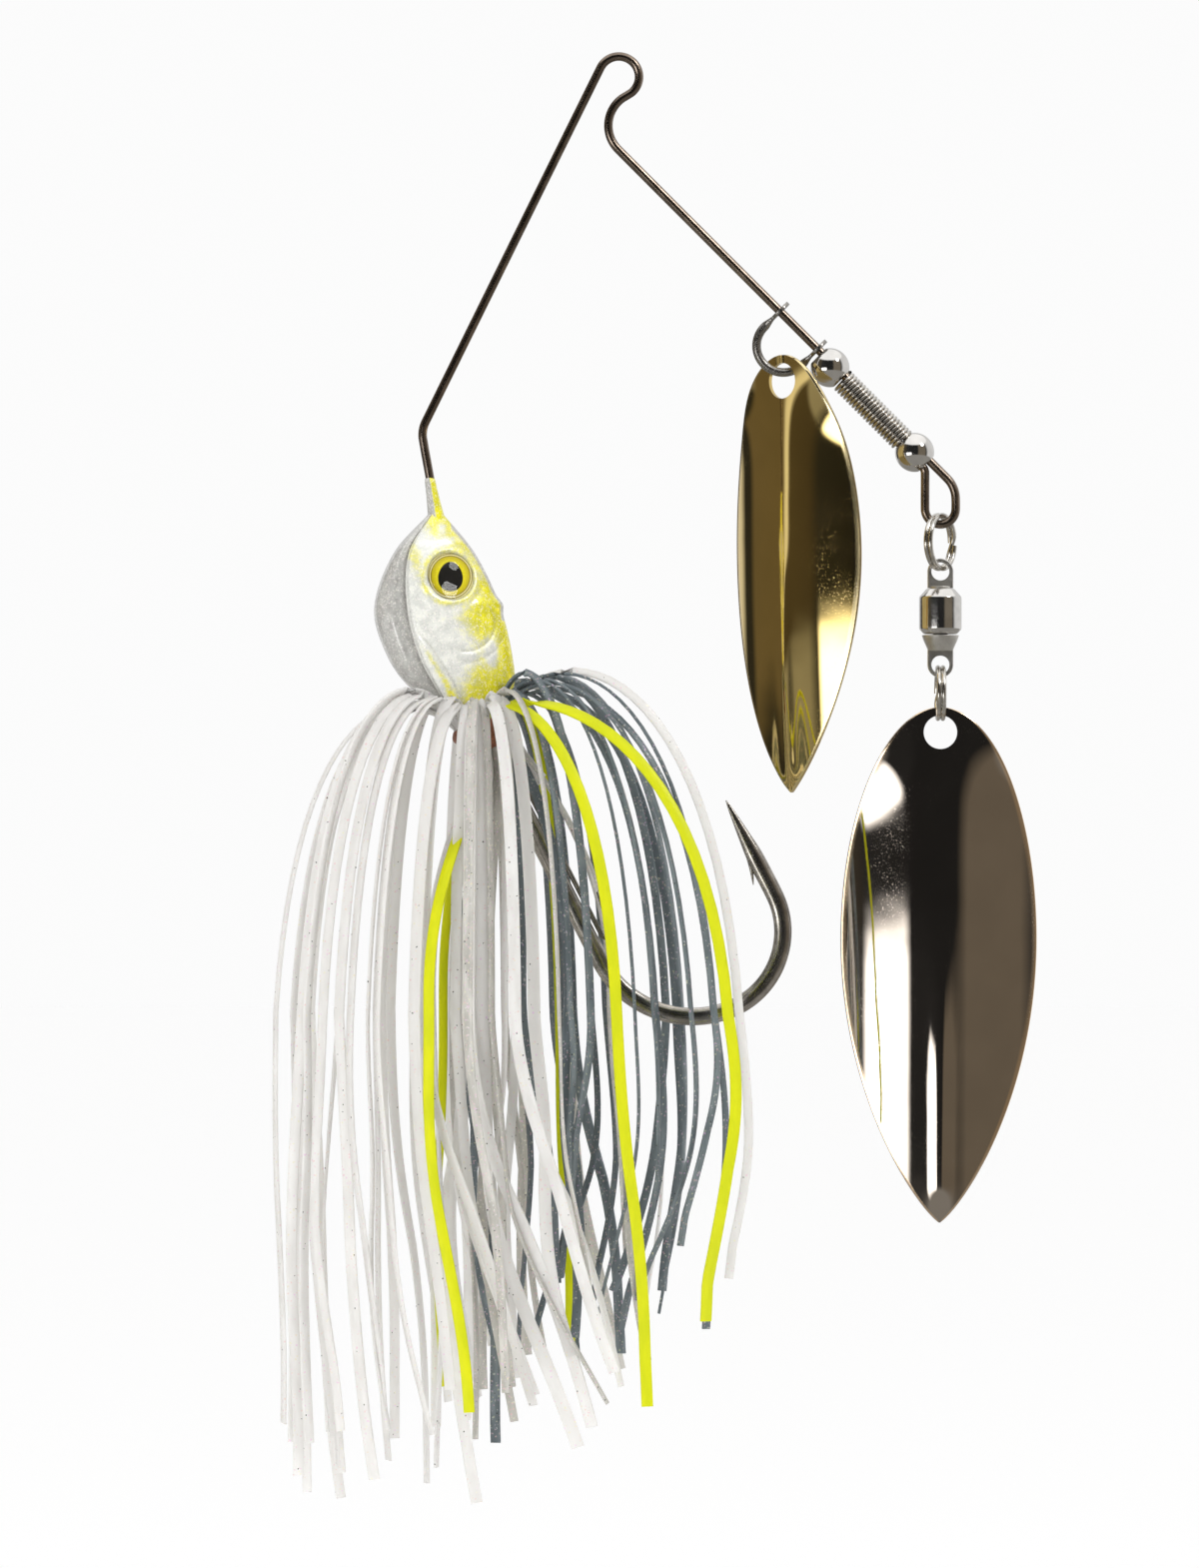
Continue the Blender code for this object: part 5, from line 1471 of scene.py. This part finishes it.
def tab_shape(centre, hole_z, base_z, half_width, thickness):
    """Flat eye with a round end, drawn as rings from face to face with softened edges."""
    up = 1.0 if hole_z > base_z else -1.0
    steps = 40
    outline = [(half_width, base_z)]
    for i in range(steps + 1):
        angle = math.pi * i / steps
        outline.append((half_width * math.cos(angle), hole_z + up * half_width * math.sin(angle)))
    outline.append((-half_width, base_z))
    soft = 0.07 * MM
    rings = []
    half = thickness / 2
    for y, inset in ((-half, soft), (-half + soft, 0.0), (half - soft, 0.0), (half, soft)):
        ring = []
        for x, z in outline:
            middle_z = hole_z if (z - hole_z) * up > 0 else z
            direction = Vector((x, 0.0, z - middle_z))
            scale = 1.0 - inset / max(direction.length, soft)
            ring.append(Vector((centre.x + x * scale, centre.y + y, middle_z + (z - middle_z) * scale)))
        rings.append(ring)
    return Shape().add(rings)


def add_swivel_eye(look, node, body, name, hole_z, base_z, profile):
    """Flat drilled eye, and the turned root that it stands on."""
    centre = box_centre(node)
    tab = tab_shape(centre, hole_z, base_z, EYE_HALF_WIDTH, 0.5 * MM)
    piece = tab.finish(name, look, body, [node], "swivel_eyes", 40.0)
    cut(piece, drill(Vector((centre.x, centre.y, hole_z)), ACROSS, 0.92 * MM, 2.0 * MM, 56))
    place = Matrix.Translation((centre.x, centre.y, 0.0))
    root = Shape().lathe(rounded_profile(profile, 0.10 * MM), place, 64)
    root.finish(name + "_root", look, body, (), "swivel_eyes", 40.0)


def add_swivel(barrel_look, eye_look, ball_look):
    """Barrel with its fixed upper eye, and the lower eye whose flange turns on the balls."""
    add_swivel_barrel(barrel_look)
    low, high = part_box("swivel_barrel")
    top, bottom = high.z, low.z
    core = 0.05 * MM
    neck, plug_radius = 1.05 * MM, 1.6 * MM
    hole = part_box("swivel_upper_eye")[1].z - EYE_HALF_WIDTH
    plug = [
        (core, top + 0.25 * MM), (neck, top + 0.25 * MM), (neck, top - 0.5 * MM),
        (plug_radius, top - 0.86 * MM), (plug_radius, top - 1.4 * MM), (core, top - 1.4 * MM),
    ]
    base = top + 0.06 * MM
    add_swivel_eye(eye_look, "swivel_upper_eye", "swivel_body", "upper_swivel_eye", hole, base, plug)
    post, flange_radius = 0.75 * MM, 1.45 * MM
    lowest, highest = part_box("swivel_lower_eye")
    flange = highest.z
    hole = lowest.z + EYE_HALF_WIDTH
    spindle = [
        (core, flange), (flange_radius, flange), (flange_radius, flange - 0.5 * MM),
        (post, flange - 0.5 * MM), (post, bottom - 0.1 * MM), (1.9 * MM, bottom - 0.1 * MM),
        (1.75 * MM, bottom - 0.55 * MM), (1.25 * MM, bottom - 1.7 * MM), (core, bottom - 1.7 * MM),
    ]
    base = bottom - 1.5 * MM
    add_swivel_eye(eye_look, "swivel_lower_eye", "swivel_spindle", "lower_swivel_eye", hole, base, spindle)
    for i in range(1, 7):
        ball = frame["nodes"][f"bearing_ball_{i}"]
        ball.data.materials.clear()
        ball.data.materials.append(ball_look)


# ---------------------------------------------------------------- stage


def add_floor():
    size = 6.0
    mesh = bpy.data.meshes.new("floor")
    height = -0.30
    corners = [(-size, -size, height), (size, -size, height), (size, size, height), (-size, size, height)]
    mesh.from_pydata(corners, [], [(0, 1, 2, 3)])
    floor = add_object("floor", mesh)
    glow = {"emission_color": (1.0, 1.0, 1.0, 1.0), "emission_strength": 0.16}
    look = Look("floor_paper", (0.93, 0.93, 0.93), 0.9, **glow)
    fibres = look.noise(look.place(), 4.0 * MM, 4.0)
    look.bump(fibres, 0.05 * MM, 0.3)
    mesh.materials.append(look.material)
    floor.visible_glossy = False


BROWN = (0.20, 0.17, 0.13)
OLIVE = (0.15, 0.125, 0.085)
# Cards of the studio that mirrors show, as (degrees round from the camera's side, +X positive, tone).
UPPER_CARDS = (
    (-180, 0.6), (-144, 0.75), (-138, 0.03), (-131, 0.03), (-125, OLIVE), (-88, OLIVE), (-85.5, 0.9),
    (-83, 0.9), (-81, (0.09, 0.075, 0.05)), (-60, (0.07, 0.058, 0.04)), (-50, 0.03), (-20, 0.02),
    (16, 0.02), (24, BROWN), (62, BROWN), (70, 0.04), (84, 0.8), (140, 0.8), (180, 0.6),
)
LOWER_CARDS = (
    (-180, 0.6), (-144, 0.75), (-138, 0.03), (-104, 0.03), (-96, 0.4), (-62, 0.3), (-53, 0.05),
    (-49, 4.5), (-25, 4.5), (-20, 0.03), (14, 0.02), (24, BROWN), (62, BROWN), (70, 0.04), (84, 0.8),
    (140, 0.8), (180, 0.6),
)


def sky_ramp(nodes, value, stops):
    """Colour by a value from 0 to 1, through (place, brightness or colour) stops."""
    ramp = nodes.node("ValToRGB", None, i0=value)
    elements = ramp.color_ramp.elements
    while len(elements) > 1:
        elements.remove(elements[-1])
    for i, (at, tone) in enumerate(stops):
        element = elements[0] if i == 0 else elements.new(at)
        element.position = at
        colour = (tone, tone, tone) if isinstance(tone, float) else tone
        element.color = (*colour, 1.0)
    return ramp.outputs[0]


def card_stops(cards):
    """Ramp stops for cards that stand all round."""
    return [((degrees + 180.0) / 360.0, tone) for degrees, tone in cards]


def add_studio():
    """White surroundings for sight and for soft light, and dark and light cards that only mirrors show."""
    world = bpy.data.worlds.new("studio")
    bpy.context.scene.world = world
    world.use_nodes = True
    world.node_tree.nodes.clear()
    nodes = Nodes(world.node_tree)
    direction = nodes.node("TexCoord").outputs["Generated"]
    right, away, rising = nodes.node("SeparateXYZ", None, i0=direction).outputs
    azimuth = nodes.maths("ARCTAN2", right, nodes.maths("MULTIPLY", away, -1.0))
    turn = nodes.maths("ADD", nodes.maths("DIVIDE", azimuth, 2.0 * math.pi), 0.5)
    height = nodes.maths("ADD", nodes.maths("MULTIPLY", rising, 0.5), 0.5)
    upper = sky_ramp(nodes, turn, card_stops(UPPER_CARDS))
    lower = sky_ramp(nodes, turn, card_stops(LOWER_CARDS))
    cards = nodes.mix(nodes.remap(rising, -0.085, -0.035), lower, upper)
    cards = nodes.mix(nodes.remap(rising, 0.62, 0.72), cards, (1.25, 1.25, 1.25))
    cards = nodes.mix(nodes.remap(rising, -0.32, -0.22), (0.32, 0.31, 0.29), cards)
    rays = nodes.node("LightPath")
    soft = sky_ramp(nodes, height, [(0.0, 0.55), (0.5, 0.72), (1.0, 0.95)])
    seen = nodes.mix(rays.outputs["Is Glossy Ray"], soft, cards)
    seen = nodes.mix(rays.outputs["Is Camera Ray"], seen, (0.97, 0.97, 0.97))
    background = nodes.node("Background", None, i0=seen)
    nodes.node("OutputWorld", None, i0=background.outputs[0])


def add_lamp(name, place, target, size, power):
    """Round soft lamp that faces a target."""
    lamp = bpy.data.lights.new(name, "AREA")
    lamp.shape = "DISK"
    lamp.size = size
    lamp.energy = power
    lamp_object = add_object(name, lamp)
    lamp_object.location = place
    lamp_object.rotation_mode = "QUATERNION"
    lamp_object.rotation_quaternion = (target - place).to_track_quat("-Z", "Y")
    return lamp_object


def add_lights():
    """Soft key, fill and back light that mirrors don't show, and one small lamp that only mirrors show."""
    low, high = cad_box
    centre = (low + high) / 2
    key = add_lamp("key_light", centre + Vector((-0.45, -0.60, 0.40)), centre, 0.45, 3.4)
    fill = add_lamp("fill_light", centre + Vector((0.56, -0.36, 0.36)), centre, 0.15, 1.6)
    back = add_lamp("back_light", centre + Vector((0.1, 0.6, 0.35)), centre, 0.5, 2.0)
    glint = add_lamp("glint_light", centre + Vector((0.50, -0.36, 0.55)), centre, 0.22, 1.6)
    for lamp in (key, fill, back, glint):
        lamp.visible_camera = False
        lamp.visible_glossy = lamp is glint
    glint.visible_diffuse = False


def add_camera():
    """Long lens at the side of the bait, level with its middle."""
    camera = bpy.data.cameras.new("camera")
    camera.lens = 150.0
    camera.clip_start = 0.05
    camera.clip_end = 20.0
    holder = add_object("camera", camera)
    picture_height = 158.9 * MM
    middle_x, middle_z = -1.95 * MM, -73.3 * MM
    distance = picture_height * camera.lens / camera.sensor_width
    holder.location = (middle_x, -distance, middle_z)
    holder.rotation_euler = (math.pi / 2, 0.0, 0.0)
    bpy.context.scene.camera = holder


def set_colour_handling():
    bpy.context.scene.view_settings.view_transform = "Standard"
    bpy.context.scene.view_settings.look = "None"


# ---------------------------------------------------------------- build


def strand_looks():
    """Looks of the skirt's strands: colour, deeper tone, flake colour and share, and how see-through."""
    return {
        "white": silicone(
            "strand_white", (0.88, 0.875, 0.86), (0.80, 0.79, 0.77), (0.95, 0.95, 0.94), 0.05, 0.50),
        "pearl": silicone(
            "strand_pearl", (0.76, 0.75, 0.71), (0.54, 0.53, 0.49), (0.98, 0.98, 0.96), 0.16, 0.42),
        "smoke": silicone(
            "strand_smoke", (0.27, 0.31, 0.325), (0.15, 0.18, 0.195), (0.58, 0.65, 0.67), 0.08, 0.38),
        "chartreuse": silicone(
            "strand_chartreuse", (0.80, 0.80, 0.004), (0.66, 0.70, 0.004), see_through=0.35),
    }


def main():
    wire_look = drawn_wire("bronzed_wire", (0.25, 0.20, 0.16), 0.22, 0.2)
    hook_look = drawn_wire("black_nickel", (0.50, 0.47, 0.43), 0.24, 0.2)
    keeper_look = drawn_wire("keeper_wire", (0.30, 0.28, 0.25), 0.25)
    nickel = (0.74, 0.72, 0.69)
    bead_look = plated("bead_nickel", nickel, 0.06)
    coil_look = drawn_wire("coil_nickel", (0.62, 0.59, 0.54), 0.16, 0.2)
    clevis_look = plated("clevis_nickel", (0.34, 0.325, 0.30), 0.26)
    ring_look = drawn_wire("ring_nickel", (0.70, 0.67, 0.62), 0.18, 0.2)
    barrel_look = plated("swivel_nickel", (0.72, 0.70, 0.67), 0.10)
    eye_metal = plated("swivel_eye_nickel", (0.72, 0.70, 0.66), 0.34)
    ball_look = plated("ball_steel", (0.75, 0.75, 0.75), 0.08)
    gold = blade_plate("gold_plate", (0.82, 0.61, 0.23), (0.93, 0.76, 0.42))
    dark = blade_plate("dark_nickel_plate", (0.58, 0.51, 0.44), (0.90, 0.70, 0.50))
    paint = head_paint()
    strands = strand_looks()
    shank = shank_direction()

    add_wire_form(wire_look)
    nose = add_head(paint)
    add_paint_sleeve(paint, nose)
    add_stem(paint, shank)
    add_eyes(eye_foil_look(), clear_resin())
    add_hook(hook_look)
    add_trailer_keeper(keeper_look)
    add_collar(rubber("collar_rubber", (0.30, 0.11, 0.06)), shank)
    add_skirt(strands, shank)
    add_stubs(strands["white"], shank)
    add_bead(bead_look, "front_bead", "front_bead")
    add_bead(bead_look, "rear_bead", "lock_sleeve")
    add_coil(coil_look)
    add_clevis(clevis_look)
    add_blades(gold, dark)
    add_split_ring(ring_look, "loop_ring", "split_ring_upper")
    add_split_ring(ring_look, "blade_ring", "split_ring_lower")
    add_swivel(barrel_look, eye_metal, ball_look)
    add_floor()
    add_studio()
    add_lights()
    add_camera()
    set_colour_handling()


main()
